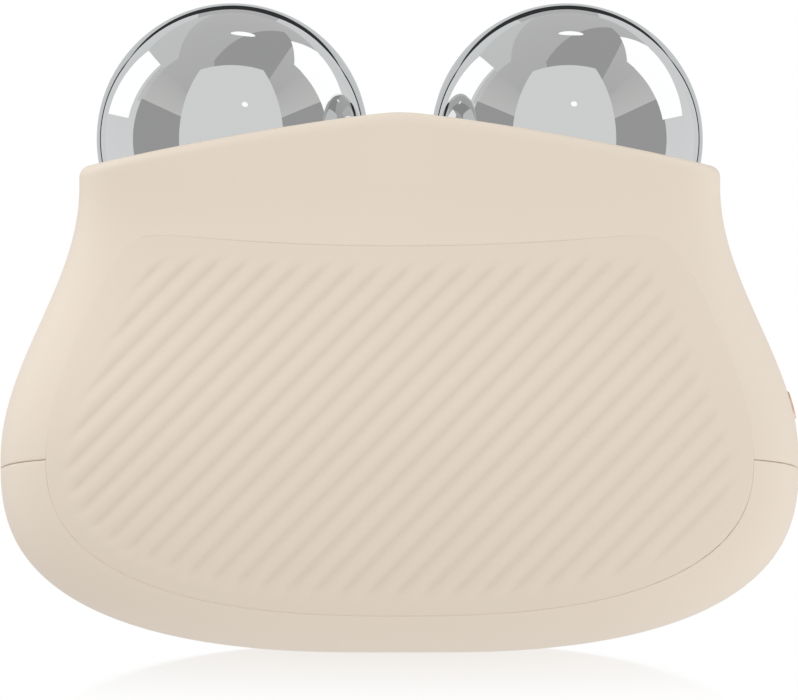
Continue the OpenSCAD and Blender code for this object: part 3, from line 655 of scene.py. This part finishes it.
def panel_outline(count, grow=0):
    turn = np.arange(count) / count * 2 * np.pi
    rays = np.stack([np.cos(turn), np.sin(turn)], -1)
    middle = np.tile([0, PANEL_Z], (count, 1))
    return middle + rays * to_edge(middle, rays, grow)[:, None]


def even_outline(count, grow=0):
    """The outline with its points an even distance apart."""
    fine = panel_outline(OUTLINE_STEPS, grow)
    closed = np.vstack([fine, fine[:1]])
    walked = np.concatenate([[0], np.cumsum(np.linalg.norm(np.diff(closed, axis=0), axis=1))])
    spots = np.arange(count) / count * walked[-1]
    return np.stack([np.interp(spots, walked, closed[:, i]) for i in (0, 1)], -1)


def edge_radius(x, z):
    """The edge is almost flush at the upper sides, and rounder along the top and the bottom."""
    rise = np.clip((z - PANEL_Z + 2) / 6, 0, 1)
    far_out = np.clip((np.abs(x) - 14) / 12, 0, 1)
    return PANEL_EDGE_R * mix(EDGE_FADE[1], EDGE_FADE[0], rise * mix(0.45, 1, far_out))


def room_to(outline, p):
    """Shortest distance from each point to the outline's points."""
    rooms = [np.sqrt(((chunk[:, None] - outline[None]) ** 2).sum(-1)).min(1)
             for chunk in np.array_split(p, max(1, len(p) // 4000))]
    return np.concatenate(rooms)


def panel_grid(per_rib=14, steps=90):
    """Rows of points across the panel, each a line along the ribs from edge to edge."""
    rim = panel_outline(OUTLINE_STEPS, PANEL_FIT)
    heights = rim @ rib_across
    first, last = rim[heights.argmin()], rim[heights.argmax()]
    low, high = heights.min(), heights.max()
    near = np.array([0, 0.01, 0.03, 0.06, 0.1, 0.16, 0.24, 0.34, 0.46])     # rows by the corners
    clear = 0.55                                                            # mm that they take
    step = RIB_PITCH / per_rib
    inner = RIB_START + step * np.arange(math.ceil((low + clear - RIB_START) / step),
                                         math.floor((high - clear - RIB_START) / step))
    across = np.concatenate([low + near, inner, (high - near)[::-1]])
    spine = mix(first, last, ((across - low) / (high - low))[:, None])
    start = spine - rib_along * to_edge(spine, -rib_along, PANEL_FIT)[:, None]
    end = spine + rib_along * to_edge(spine, rib_along, PANEL_FIT)[:, None]
    along = (1 - np.cos(np.pi * np.arange(steps + 1) / steps)) / 2
    return mix(start[:, None], end[:, None], along[None, :, None])


def valley(p, room):
    """Depth of the valleys between the ribs, which fades out near the outline."""
    beside = np.clip((np.abs(p[:, 0]) - SIDE_FROM) / SIDE_RUN, 0, 1)
    raised = np.clip((p[:, 1] - PANEL_Z) / SIDE_RUN, 0, 1)
    room = room - RIB_SIDE * (beside * raised)
    share = np.clip((room - RIB_FADE[0]) / (RIB_FADE[1] - RIB_FADE[0]), 0, 1)
    fade = np.sin(np.pi / 2 * share) ** 2
    wave = np.hypot(VALLEY_ROUND, np.sin(np.pi * (p @ rib_across - RIB_START) / RIB_PITCH))
    return RIB_H * fade * (math.hypot(VALLEY_ROUND, 1) - wave)


def slab(outer, inner):
    """Closed slab between two surfaces given as grids of points."""
    rows, columns = outer.shape[:2]
    count = rows * columns
    i, j = np.meshgrid(np.arange(rows - 1), np.arange(columns - 1), indexing="ij")
    a = (i * columns + j).ravel()
    b = a + columns
    faces = np.stack([a, a + 1, b + 1, b], -1).tolist()
    faces += (np.stack([a, b, b + 1, a + 1], -1) + count).tolist()
    loop = np.concatenate([np.arange(columns - 1), np.arange(rows - 1) * columns + columns - 1,
                           (rows - 1) * columns + np.arange(columns - 1, 0, -1),
                           np.arange(rows - 1, 0, -1) * columns])
    after = np.roll(loop, -1)
    faces += np.stack([loop, loop + count, after + count, after], -1).tolist()
    return np.vstack([outer.reshape(-1, 3), inner.reshape(-1, 3)]), faces


def grip_panel():
    grid = panel_grid()
    flat = grid.reshape(-1, 2)
    room = room_to(panel_outline(1800, PANEL_FIT), flat)
    radius = edge_radius(flat[:, 0], flat[:, 1])
    edge = np.clip(1 - room / radius, 0, 1)
    rounding = radius * (1 - np.sqrt(1 - edge ** 2))
    y = back_y(flat[:, 0], flat[:, 1])
    outer = np.stack([flat[:, 0], y - valley(flat, room) - rounding, flat[:, 1]], -1)
    inner = np.stack([flat[:, 0], y - PANEL_T, flat[:, 1]], -1)
    shape = grid.shape[:2] + (3,)
    return make_piece("ribbed_grip_panel", *slab(outer.reshape(shape), inner.reshape(shape)))


panel = smooth(grip_panel(), 60)
dress(panel, "main", "grip_rubber", "grip_panel")
print("grip panel:", len(panel.data.polygons), "faces")

# %% [markdown]
# The recess in the housings is the same outline, grown by the glue gap. Its plane is x, z and
# its height is y, so the cutter's points are turned into place at the end.

# %% Recess for the panel


def panel_recess():
    outline = even_outline(700, PANEL_GAP)[::-1] * [-1, 1]
    return flared_cutter("recess", outline, lambda x, z: back_y(-x, z),
                         lambda p: p[:, [0, 2, 1]] * [-1, 1, 1], PANEL_T + PANEL_GAP,
                         edge_radius(outline[:, 0], outline[:, 1]), cap_rings=24)


# %% [markdown]
# ## The balls and their pockets
# Each ball leans out a little to its side and forward with the roof, and is held from below by
# one screw. Ball and seat are turned, like on a lathe: a profile goes round an axis. A mirror
# shows every facet, so the ball's profile has a point for each degree. Its inside never shows,
# so only the outer skin and the screw's bore are drawn, and the CAD model keeps the cavity.

# %% Balls
BALL_SPACING = 31.2          # mm between the balls' centres
BALL_Y = -2.5
BALL_Z = 47.35
BALL_SPLAY = math.radians(4.5)
BALL_SCREW_D = 2.6
BORE_DEPTH = 6
ball_low, ball_high = box_mm("left_ball")
BALL_R = (ball_high[0] - ball_low[0]) / 2
SEAT_T = 0.8                 # mm, wall of the seat
SEAT_TOP = 6                 # mm from the ball's centre down to the seat's lip
LIP_R = 0.18
MOUTH_R = 11.4               # radius of the opening in the roof
MOUTH_EDGE_R = 0.35
MOUTH_DEPTH = 3.2
POCKET_TOP = 6.4             # mm from the ball's centre down to where the pocket meets the mouth
BOWL_T = 1.6                 # wall under the seat
BALL_FIT = 0.05              # play between the pieces
seat_in = BALL_R + BALL_FIT
seat_out = seat_in + SEAT_T
bowl_r = seat_out + BALL_FIT + BOWL_T


def ball_frame(side):
    """Matrix of a ball: its Z runs out through the middle of the ball."""
    return (Matrix.Translation((side * BALL_SPACING / 2, BALL_Y, BALL_Z))
            @ Matrix.Rotation(side * BALL_SPLAY, 4, "Y") @ Matrix.Rotation(ROOF_TILT, 4, "X"))


def moved(matrix):
    """A function that moves points by a matrix."""
    turn = np.array(matrix.to_3x3())
    shift = np.array(matrix.translation)
    return lambda p: np.asarray(p) @ turn.T + shift


def turned(name, profile, matrix, count=192, offset=0):
    """A profile of radius and height, turned round Z; offset is a part of one step."""
    profile = np.asarray(profile)
    turn = (np.arange(count) + offset) / count * 2 * np.pi
    rings = np.stack([profile[:, None, 0] * np.cos(turn), profile[:, None, 0] * np.sin(turn),
                      np.repeat(profile[:, None, 1], count, 1)], -1)
    if (profile[0] == profile[-1]).all():
        points, faces = tube(rings[:-1])
    else:
        points, faces = loft(rings[1:-1], rings[0, 0], rings[-1, 0])
    return make_piece(name, moved(matrix)(points), faces)


def arc(radius, start, stop, steps, centre=(0, 0)):
    """Points of an arc as radius and height, with angles in degrees from the top."""
    a = np.radians(np.linspace(start, stop, steps + 1))
    return np.stack([centre[0] + radius * np.sin(a), centre[1] + radius * np.cos(a)], -1)


def ball_piece(name, side):
    """The outside with its screw bore."""
    bore = BALL_SCREW_D / 2 + BALL_FIT
    outer = arc(BALL_R, 0, 180 - math.degrees(math.asin(bore / BALL_R)), 200)
    profile = np.vstack([outer, [[bore, -BALL_R + BORE_DEPTH], [0, -BALL_R + BORE_DEPTH]]])
    return turned(name, profile[::-1], ball_frame(side), 256)


def seat_piece(name, side):
    """The insulating liner: a cup with a rounded lip that shows as a thin ring round the ball."""
    hole = BALL_SCREW_D / 2 + BALL_FIT
    outer = arc(seat_out, 180 - math.degrees(math.asin(hole / seat_out)),
                180 - math.degrees(math.asin(MOUTH_R / seat_out)), 40)
    lip = arc(LIP_R, 90, 0, 5, (MOUTH_R - LIP_R, -SEAT_TOP - LIP_R))
    lip_end = [math.sqrt(seat_in ** 2 - SEAT_TOP ** 2) + 0.02, -SEAT_TOP]
    inner = arc(seat_in, 180 - math.degrees(math.acos(SEAT_TOP / seat_in)),
                180 - math.degrees(math.asin(hole / seat_in)), 40)
    profile = np.vstack([outer, lip, [lip_end], inner, outer[:1]])
    return turned(name, profile, ball_frame(side), 160)


def pocket_cutter(side):
    """What the upper housing loses to a seat, with a rounded mouth that follows the roof."""
    matrix = ball_frame(side)
    place = moved(matrix)
    pocket_r = seat_out + BALL_FIT
    mouth = MOUTH_R + BALL_FIT
    out = np.array(matrix.to_3x3())[:, 2]

    def roof_height(x, y):
        """Height along the ball's axis at which x, y of its plane meets the roof."""
        x, y = np.atleast_1d(x), np.atleast_1d(y)
        h = np.full_like(x, -7.0, dtype=float)      # a first guess
        for _ in range(TRIES):
            p = place(np.stack([x, y, h], -1))
            h = h + (roof(p[:, 0], p[:, 1]) - p[:, 2]) / out[2] * math.cos(ROOF_TILT) ** 2
        return h

    flare = flared_cutter("mouth", circle(mouth, 192), roof_height, place, MOUTH_DEPTH,
                          MOUTH_EDGE_R, above=6)
    round_part = arc(pocket_r, 180, 180 - math.degrees(math.asin(mouth / pocket_r)), 48)
    profile = np.vstack([round_part, [[mouth, -POCKET_TOP], [0, -POCKET_TOP]]])
    return boolean(turned("pocket", profile, matrix, 192), flare, "UNION")


for side, name in ((1, "left_ball"), (-1, "right_ball")):
    dress(smooth(ball_piece(name + "_turned", side)), "main", "ball_chrome", name)
    dress(smooth(seat_piece(name + "_liner", side)), "main", "seat_plastic", name + "_seat")
print("ball radius in mm:", round(BALL_R, 3))

# %% [markdown]
# ## The buttons
# The power button on the front is a round key with a dished face in a satin copper ring, and
# the side button is a pill in a thin ring. The round pieces are turned, the long ones lofted,
# with small edge radii. Below its face each key has a flange that keeps it behind the ring, and
# the power key has a stem that presses the switch. The keys ride on their own bodies, so they
# travel with the CAD joint when they are pressed, while the rings stay with the housing.

# %% Power button and its ring
BUTTON_D = 9
BUTTON_Z = 21.5
BUTTON_PROUD = 0.5           # mm that the key stands out
BUTTON_GAP = 0.25
BUTTON_EDGE_R = 0.35
DISH = 0.16                  # mm, depth of the dish in its face
FLANGE_W = 0.8
FLANGE_LOW = 3.4             # mm under the surface, lower end of the flange
STEM_R = 1.7
STEM_LOW = 9.2
BEZEL_W = 1.05
BEZEL_TOP = 0.3
BEZEL_EDGE_R = 0.22
button_lean = math.atan(float(depth_front(BUTTON_Z - 0.5) - depth_front(BUTTON_Z + 0.5)))
ring_r = BUTTON_D / 2 + BUTTON_GAP + BEZEL_W
front_frame = (Matrix.Translation((0, -float(depth_front(BUTTON_Z)), BUTTON_Z))
               @ Matrix.Rotation(math.pi / 2 - button_lean, 4, "X"))


def power_button():
    r = BUTTON_D / 2
    face = [[r * t, BUTTON_PROUD - DISH * math.cos(math.pi / 2 * t) ** 2]
            for t in np.linspace(0, (r - BUTTON_EDGE_R) / r, 14)]
    edge = arc(BUTTON_EDGE_R, 0, 90, 8, (r - BUTTON_EDGE_R, BUTTON_PROUD - BUTTON_EDGE_R))
    flange = [[r, -WALL - 0.25], [r + FLANGE_W, -WALL - 0.25], [r + FLANGE_W, -FLANGE_LOW]]
    stem = [[STEM_R, -FLANGE_LOW], [STEM_R, -STEM_LOW], [0, -STEM_LOW]]
    profile = np.vstack([face, edge[1:], flange, stem])
    return turned("power_button_key", profile[::-1], front_frame, 128)


def power_ring():
    inner, outer, foot = BUTTON_D / 2 + BUTTON_GAP, ring_r, -WALL - 0.05
    height = BEZEL_TOP - BEZEL_EDGE_R
    crown = np.vstack([arc(BEZEL_EDGE_R, 90, 0, 6, (outer - BEZEL_EDGE_R, height)),
                       arc(BEZEL_EDGE_R, 0, -90, 6, (inner + BEZEL_EDGE_R, height))])
    profile = np.vstack([[[outer, foot]], crown, [[inner, foot], [outer, foot]]])
    return turned("power_button_trim", profile, front_frame, 128)


dress(smooth(power_button()), "power_key", "button_plastic", "power_button")
dress(smooth(power_ring()), "main", "copper_trim", "power_button_ring")
print("power button leans by", round(math.degrees(button_lean), 1), "degrees")

# %% Side button and its ring
SIDE_Z = 22.7
SIDE_LEN = 6.6               # mm, length and width of the key's face
SIDE_FACE = 1.56
SIDE_TOP = 0.12              # mm that the key and its ring stand out
SIDE_RING_TOP = 0.09
SIDE_EDGE_R = 0.18
SIDE_RIM = 0.32              # mm, width of the ring
SIDE_RIM_EDGE_R = 0.12
SIDE_FLANGE_W = 0.35
side_lean = math.atan(float(half_width(SIDE_Z - 0.5) - half_width(SIDE_Z + 0.5)))
side_x = float(half_width(SIDE_Z))
side_r = SIDE_FACE / 2
side_slot_r = side_r + BUTTON_GAP * 0.8 + SIDE_RIM
side_frame = (Matrix.Translation((-side_x, 0, SIDE_Z))
              @ Matrix.Rotation(side_lean - math.pi / 2, 4, "Y"))


def pill_rings(steps):
    """Rings of pills, each given as a radius and a height."""
    straight = SIDE_LEN / 2 - side_r
    return [np.column_stack([pill(r, 2 * straight + 2 * r), np.full(96, h)]) for r, h in steps]


def side_button():
    r, top, low = side_r, SIDE_TOP, -WALL - 1
    edge_r = SIDE_EDGE_R
    edge = [[r - edge_r + edge_r * math.sin(a), top - edge_r + edge_r * math.cos(a)]
            for a in quarter(6)[::-1]]
    flange = [[r + SIDE_FLANGE_W, low], [r + SIDE_FLANGE_W, -WALL - 0.2], [r, -WALL - 0.2]]
    steps = flange + edge + [[r * 0.3, top - 0.02]]
    points, faces = loft(pill_rings(steps), [0, 0, low], [0, 0, top - 0.03])
    return make_piece("side_button_key", moved(side_frame)(points), faces)


def side_ring():
    inner, outer, low = side_slot_r - SIDE_RIM, side_slot_r, -WALL + 0.1
    r = SIDE_RIM_EDGE_R
    heights = [(a, SIDE_RING_TOP - r + r * math.cos(a)) for a in quarter(5)]
    crown = [[outer - r + r * math.sin(a), height] for a, height in heights[::-1]]
    crown += [[inner + r - r * math.sin(a), height] for a, height in heights]
    points, faces = tube(pill_rings([[outer, low]] + crown + [[inner, low]]))
    return make_piece("side_button_trim", moved(side_frame)(points), faces)


dress(smooth(side_button()), "side_key", "button_plastic", "side_button")
dress(smooth(side_ring()), "main", "copper_trim", "side_button_ring")
print("side button leans by", round(math.degrees(side_lean), 1), "degrees")

# %% [markdown]
# ## Cutting the housings
# With every cutter ready, the housings lose their hollow. Then the inside gets the bowls that
# carry the ball seats and the posts for the screws, so that they are part of the moulding, and
# last come the recess, the pockets, the button holes and the round windows for three lights.

# %% Windows, slots and bosses
LED_Z = 29.4
LED_XS = (-3.6, 0, 3.6)
LED_D = 1.4
PORT_W = 8.94
PORT_H = 3.26
PORT_GAP = 0.15
PORT_Y = -0.77
SCREW_X = 24
UPPER_SCREW_Z = 27
LOWER_SCREW_Z = 11
BOSS_Y = 7                   # where the posts for the screws begin
BOSS_D = 6
BOSS_UNDER = 0.5             # mm from the panel's underside to a post's top
HEAD_UNDER = 2.9             # mm to the face that a screw's head rests on
HEAD_HOLE_R = 2.1
SHANK_HOLE_R = 1.1
THROUGH = 12                 # mm, longer than any post


def front_surface(x, y):
    """Height of the front over the power button's own plane, near its middle."""
    z_here = BUTTON_Z + y * math.cos(button_lean)
    further = -front_y(x, z_here) - float(depth_front(BUTTON_Z))
    return further * math.cos(button_lean) + y * math.sin(button_lean)


def side_surface(x, y):
    """Height of the side over the side button's own plane, near its middle."""
    return -side_x * (1 - (1 - (np.abs(y) / FRONT_D) ** FRONT_N) ** (1 / FRONT_N)) + 0 * x


def window_cutter(x):
    """A round window for a light, cut straight along Y into the front."""
    outline = circle(LED_D / 2 + BALL_FIT, 48)
    return flared_cutter("window", outline, lambda u, v: -front_y(u + x, LED_Z + v),
                         lambda p: np.stack([p[:, 0] + x, -p[:, 2], p[:, 1] + LED_Z], -1), 5, 0.12)


def port_cutter():
    """The mouth of the charge socket in the foot, with a rounded edge."""
    outline = pill(PORT_H / 2 + PORT_GAP, PORT_W + 2 * PORT_GAP)[:, ::-1] * [1, -1]
    return flared_cutter("port", outline, lambda x, y: 0 * x,
                         lambda p: p * [1, -1, -1] + [0, PORT_Y, 0], 5, 0.3)


def along_y(name, x, y, z, radius, length, count=48):
    """A cylinder that starts at x, y, z and runs along Y."""
    matrix = Matrix.Translation((x, y, z)) @ Matrix.Rotation(-math.pi / 2, 4, "X")
    profile = [[0, 0], [radius, 0], [radius, length], [0, length]]
    return turned(name, profile, matrix, count, radius % 0.7)


def bosses(piece, z):
    """Posts for the housing screws. They come before the recess, which trims their tops."""
    top = float(back_y(SCREW_X, z)) - PANEL_T - BOSS_UNDER
    for x in (-SCREW_X, SCREW_X):
        boolean(piece, along_y("boss", x, BOSS_Y, z, BOSS_D / 2, top - BOSS_Y), "UNION")


def screw_holes(piece, z):
    """Each post gets a hole for the screw's shank and a wider one for its head."""
    seat = float(back_y(SCREW_X, z)) - PANEL_T - HEAD_UNDER
    for x in (-SCREW_X, SCREW_X):
        boolean(piece, along_y("hole", x, BOSS_Y - 1, z, SHANK_HOLE_R, THROUGH), "DIFFERENCE")
        boolean(piece, along_y("counterbore", x, seat, z, HEAD_HOLE_R, THROUGH), "DIFFERENCE")


# %% The upper housing
CUP_INSET = 0.5              # mm, how far the cups stay under the outside

boolean(upper, hollow(), "DIFFERENCE")
cup_profile = np.vstack([arc(bowl_r, 180, 110, 40), [[0, -bowl_r * math.cos(math.radians(70))]]])
for side in (-1, 1):
    cup = turned("bowl", cup_profile, ball_frame(side), 96, 0.37)
    boolean(cup, hollow(CUP_INSET, 160, 40), "INTERSECT")
    boolean(upper, cup, "UNION")
bosses(upper, UPPER_SCREW_Z)
boolean(upper, panel_recess(), "DIFFERENCE")
for side in (-1, 1):
    boolean(upper, pocket_cutter(side), "DIFFERENCE")
ring_hole = flared_cutter("ring_hole", circle(ring_r + BALL_FIT, 128), front_surface,
                          moved(front_frame), 4, 0.15)
boolean(upper, ring_hole, "DIFFERENCE")
slot_outline = pill(side_slot_r + BALL_FIT, SIDE_LEN + 2 * (side_slot_r - side_r))
side_hole = flared_cutter("side_hole", slot_outline, side_surface, moved(side_frame), 4, 0.12)
boolean(upper, side_hole, "DIFFERENCE")
for x in LED_XS:
    boolean(upper, window_cutter(x), "DIFFERENCE")
screw_holes(upper, UPPER_SCREW_Z)
dress(smooth(upper), "main", "soft_touch_shell", "upper_housing")
print("upper housing:", len(upper.data.polygons), "faces")

# %% The lower housing
boolean(lower, hollow(), "DIFFERENCE")
bosses(lower, LOWER_SCREW_Z)
boolean(lower, panel_recess(), "DIFFERENCE")
boolean(lower, port_cutter(), "DIFFERENCE")
screw_holes(lower, LOWER_SCREW_Z)
dress(smooth(lower), "main", "soft_touch_shell", "lower_housing")
print("lower housing:", len(lower.data.polygons), "faces")

# %% [markdown]
# ## Light and surroundings
# The picture was taken in a white tent, so the background is pure white and light comes from
# everywhere. The tent is brighter at the upper left and the lower right than at the other two
# corners, and that draws the ribs, which lie along the other diagonal: the side of a rib that turns
# away from the middle faces a bright corner, the other side a dark one. So the sky's strength is a
# formula of the direction, and no lamp is needed but two strips behind the object, whose light
# only grazes its outermost edges.

# %% Sky
world = bpy.data.worlds.new("tent")
bpy.context.scene.world = world
world.use_nodes = True
sky = world.node_tree
sky.nodes.clear()
SKY_MEAN = 0.98
SKY_UP = 0.12                # added overhead, and taken off below
SKY_RIGHT = 0.04             # added on the right, and taken off on the left
SKY_ACROSS = 0.75            # added at the upper left and lower right, taken off at the others
WHITE = (1, 1, 1, 1)
path = add(sky, "ShaderNodeLightPath")
plain = add(sky, "ShaderNodeBackground", {"Color": WHITE, "Strength": 1.0})
way = add(sky, "ShaderNodeTexCoord").outputs["Generated"]
axes = add(sky, "ShaderNodeSeparateXYZ", {"Vector": way})
even = add(sky, "ShaderNodeVectorMath", {0: way, 1: (-SKY_RIGHT, 0, SKY_UP)},
           operation="DOT_PRODUCT")
corners = add(sky, "ShaderNodeMath", {0: axes.outputs["X"], 1: axes.outputs["Z"]},
              operation="MULTIPLY")
level = add(sky, "ShaderNodeMath", {0: corners.outputs[0], 1: SKY_ACROSS, 2: SKY_MEAN},
            operation="MULTIPLY_ADD")
strength = add(sky, "ShaderNodeMath", {0: level.outputs[0], 1: even.outputs["Value"]},
               operation="ADD")
fill = add(sky, "ShaderNodeBackground", {"Color": WHITE, "Strength": strength.outputs[0]})
seen = add(sky, "ShaderNodeMath", {0: path.outputs["Is Camera Ray"],
                                   1: path.outputs["Is Transmission Ray"]}, operation="MAXIMUM")
choice = add(sky, "ShaderNodeMixShader", {"Fac": seen.outputs[0], 1: fill.outputs[0],
                                          2: plain.outputs[0]})
add(sky, "ShaderNodeOutputWorld", {"Surface": choice.outputs[0]})

# %% Lamps
STRIP_W, STRIP_H = 120, 360  # mm
STRIP_WATTS = 0.1
STRIP_AIM = Vector((0, 0, 25))      # mm, about the middle of the body


def strip_lamp(name, place):
    """A tall soft lamp at a place in mm, aimed at the body; no camera or mirror sees it."""
    data = bpy.data.lights.new(name, "AREA")
    data.shape = "RECTANGLE"
    data.size = STRIP_W * MM
    data.size_y = STRIP_H * MM
    data.energy = STRIP_WATTS
    strip = bpy.data.objects.new(name, data)
    bpy.context.collection.objects.link(strip)
    strip.location = Vector(place) * MM
    direction = Vector(place) - STRIP_AIM
    strip.rotation_euler = direction.to_track_quat("Z", "Y").to_euler()
    strip.visible_camera = False
    strip.visible_glossy = False


strip_lamp("strip_left", (330, -190, 30))
strip_lamp("strip_right", (-330, -190, 30))

# %% [markdown]
# ### What the chrome sees
# Chrome has no colour of its own: it shows the room. A ball mirrors nearly all of it, the camera's
# side in its middle and the backdrop round its rim. So the tent is built from a few flat cards
# round the balls: a light panel behind the camera, grey side walls with a white soft box each, a
# ceiling in two greys with a small lamp, and a pale rear. Only reflections see them. Each card is
# given by the wall it hangs on and its corners as slopes from the middle between the balls, the way
# that they are read off a mirror ball: sideways and up, for each unit of distance to the wall.

# %% Cards of the tent
TENT_CENTRE = np.array([0, BALL_Y, BALL_Z])
FRONT_WALL = 240             # mm from the balls to the panel behind the camera
FAR_WALL = 620               # mm to the other walls and the ceiling
CHROME_KEEPS = 0.8           # share of the light that chrome mirrors
LAYER = 4                    # mm between cards that hang before each other
WALLS = {                    # the way to each wall, then what "sideways" and "up" mean on it
    "front": ((0, 1, 0), (1, 0, 0), (0, 0, 1), FRONT_WALL),
    "left": ((1, 0, 0), (0, 1, 0), (0, 0, 1), FAR_WALL),
    "right": ((-1, 0, 0), (0, 1, 0), (0, 0, 1), FAR_WALL),
    "top": ((0, 0, 1), (1, 0, 0), (0, 1, 0), FAR_WALL),
    "rear": ((0, -1, 0), (1, 0, 0), (0, 0, 1), FAR_WALL),
}


def as_mirrored(shade):
    """The linear colour that a card needs to show as a shade in the chrome."""
    return tuple(c / CHROME_KEEPS for c in linear(shade)[:3]) + (1,)


def card(name, wall, shade, corners, layer=0, low_shade=None):
    """A flat card on a wall; low_shade is what it fades to at its foot, or towards the rear."""
    way, across, up, distance = (np.array(v) for v in WALLS[wall])
    distance = distance - layer * LAYER
    corners = np.array(corners)
    points = TENT_CENTRE + distance * (way + corners[:, :1] * across + corners[:, 1:] * up)
    piece = make_piece(name, points, [list(range(len(points)))])
    material, tree = blank_material(name)
    glow = add(tree, "ShaderNodeEmission", {"Color": as_mirrored(shade)})
    if low_shade:
        place = add(tree, "ShaderNodeTexCoord").outputs["Generated"]
        axes = add(tree, "ShaderNodeSeparateXYZ", {"Vector": place})
        rise = axes.outputs["Y" if wall == "top" else "Z"]
        tint = add(tree, "ShaderNodeMix", {"Factor": rise}, data_type="RGBA")
        tint.inputs["A"].default_value = as_mirrored(low_shade)
        tint.inputs["B"].default_value = as_mirrored(shade)
        tree.links.new(tint.outputs["Result"], glow.inputs["Color"])
    add(tree, "ShaderNodeOutputMaterial", {"Surface": glow.outputs[0]})
    piece.data.materials.append(material)
    for kind in ("camera", "diffuse", "transmission", "shadow", "volume_scatter"):
        setattr(piece, "visible_" + kind, False)


def upright(low_x, high_x, low_z, high_z):
    return [[low_x, low_z], [high_x, low_z], [high_x, high_z], [low_x, high_z]]


def oval(x, y, across, up, count=16):
    turn = np.arange(count) / count * 2 * np.pi
    return np.stack([x + across * np.cos(turn), y + up * np.sin(turn)], -1)


card("front_panel", "front", "#CDCECE", upright(-0.9, 1.02, -1.6, 2.12))
card("front_lamp", "front", "#FFFFFF", oval(-0.155, 0.56, 0.05, 0.05), layer=1)
for wall in ("left", "right"):
    card(wall + "_wall", wall, "#9C9C9C", upright(-0.1, 1.5, 0.4, 1.8), low_shade="#B9B9B8")
    card(wall + "_low", wall, "#949494", upright(-0.02, 1.5, -0.9, 0.44), layer=1)
    card(wall + "_rear_wall", wall, "#C3C4C4", upright(-1.0, 0.02, -0.9, 1.75),
         low_shade="#D2D3D4")
card("left_soft_box", "left", "#FFFFFF", upright(-0.97, -0.17, 0.2, 1.04), layer=2)
card("right_soft_box", "right", "#FFFFFF",
     [[0.02, 0.2], [0, 1.25], [-0.89, 1.8], [-1.1, 1.09], [-0.64, 0.44], [-0.5, 0.2]], layer=2)
card("ceiling", "top", "#A9A9A9", upright(-1, 1, -1.2, 1), low_shade="#B4B4B4")
card("ceiling_left", "top", "#BDBEBE", [[0.15, -1.1], [1, -1.1], [1, 0.0], [0.69, 0.02]], layer=1)
card("ceiling_right", "top", "#959595",
     [[-0.6, -0.45], [-0.44, -0.66], [0.25, 0.35], [0.3, 0.8], [-0.6, 0.8]], layer=1)
card("right_soft_box_top", "top", "#FFFFFF",
     [[-1, 0], [-0.8, 0], [-0.556, -0.494], [-0.917, -1.01], [-1, -1.03]], layer=2)
card("ceiling_lamp", "top", "#FFFFFF", oval(-0.07, -0.19, 0.12, 0.05), layer=2)
card("rear_wall", "rear", "#C6C8C9", upright(-1.2, 1.2, -0.9, 1.2))
card("rear_top", "rear", "#ABABAB", [[-0.22, 0.7], [0.24, 0.7], [0.4, 1.2], [-0.38, 1.2]], layer=1)
card("rear_gap", "rear", "#2E2F30",
     [[-0.66, -0.9], [0.66, -0.9], [0.66, 0.4], [0.5, 0.56], [0.2, 0.74], [-0.2, 0.74],
      [-0.5, 0.56], [-0.66, 0.4]], layer=2)
card("backdrop", "rear", "#B9BBBC", upright(-0.58, 0.58, -0.9, 0.42), layer=3)
card("rear_low", "rear", "#E6E6E6", upright(-0.14, 0.14, -0.076, 0.06), layer=4)

# %% [markdown]
# The floor is a white sheet, polished where the device stands: the belly is mirrored in it, and
# the mirroring fades out within a few centimetres. From below the sheet can be seen through.

# %% Floor
FLOOR_SIZE = 400             # mm
FLOOR_GLOSS = 0.45           # share of the mirroring under the foot
GLOSS_FROM = 5               # mm from the foot's middle, where the mirroring begins to fade
GLOSS_TO = 66                # mm, where it has gone
FLOOR_Z = -0.02              # mm, a hair under the foot


def floor_finish():
    material, tree = blank_material("white_sheet")
    place = add(tree, "ShaderNodeTexCoord").outputs["Object"]
    away = add(tree, "ShaderNodeVectorMath", {0: place}, operation="LENGTH")
    share = add(tree, "ShaderNodeMapRange",
                {"Value": away.outputs["Value"], "From Min": GLOSS_FROM * MM,
                 "From Max": GLOSS_TO * MM, "To Min": FLOOR_GLOSS, "To Max": 0})
    paper = add(tree, "ShaderNodeEmission", {"Color": WHITE, "Strength": 1.0})
    gloss = add(tree, "ShaderNodeBsdfGlossy", {"Color": WHITE, "Roughness": 0.06})
    sheet = add(tree, "ShaderNodeMixShader", {"Fac": share.outputs["Result"], 1: paper.outputs[0],
                                              2: gloss.outputs[0]})
    below = add(tree, "ShaderNodeNewGeometry").outputs["Backfacing"]
    both = add(tree, "ShaderNodeMixShader", {"Fac": below, 1: sheet.outputs[0],
                                             2: add(tree, "ShaderNodeBsdfTransparent").outputs[0]})
    add(tree, "ShaderNodeOutputMaterial", {"Surface": both.outputs[0]})
    return material


half = FLOOR_SIZE / 2
floor = make_piece("floor", [[x, y, FLOOR_Z] for x, y in upright(-half, half, -half, half)],
                   [[0, 1, 2, 3]])
floor.data.materials.append(floor_finish())
for kind in ("diffuse", "glossy", "shadow"):
    setattr(floor, "visible_" + kind, False)

# %% Colour, then the end
bpy.context.scene.view_settings.view_transform = "Standard"
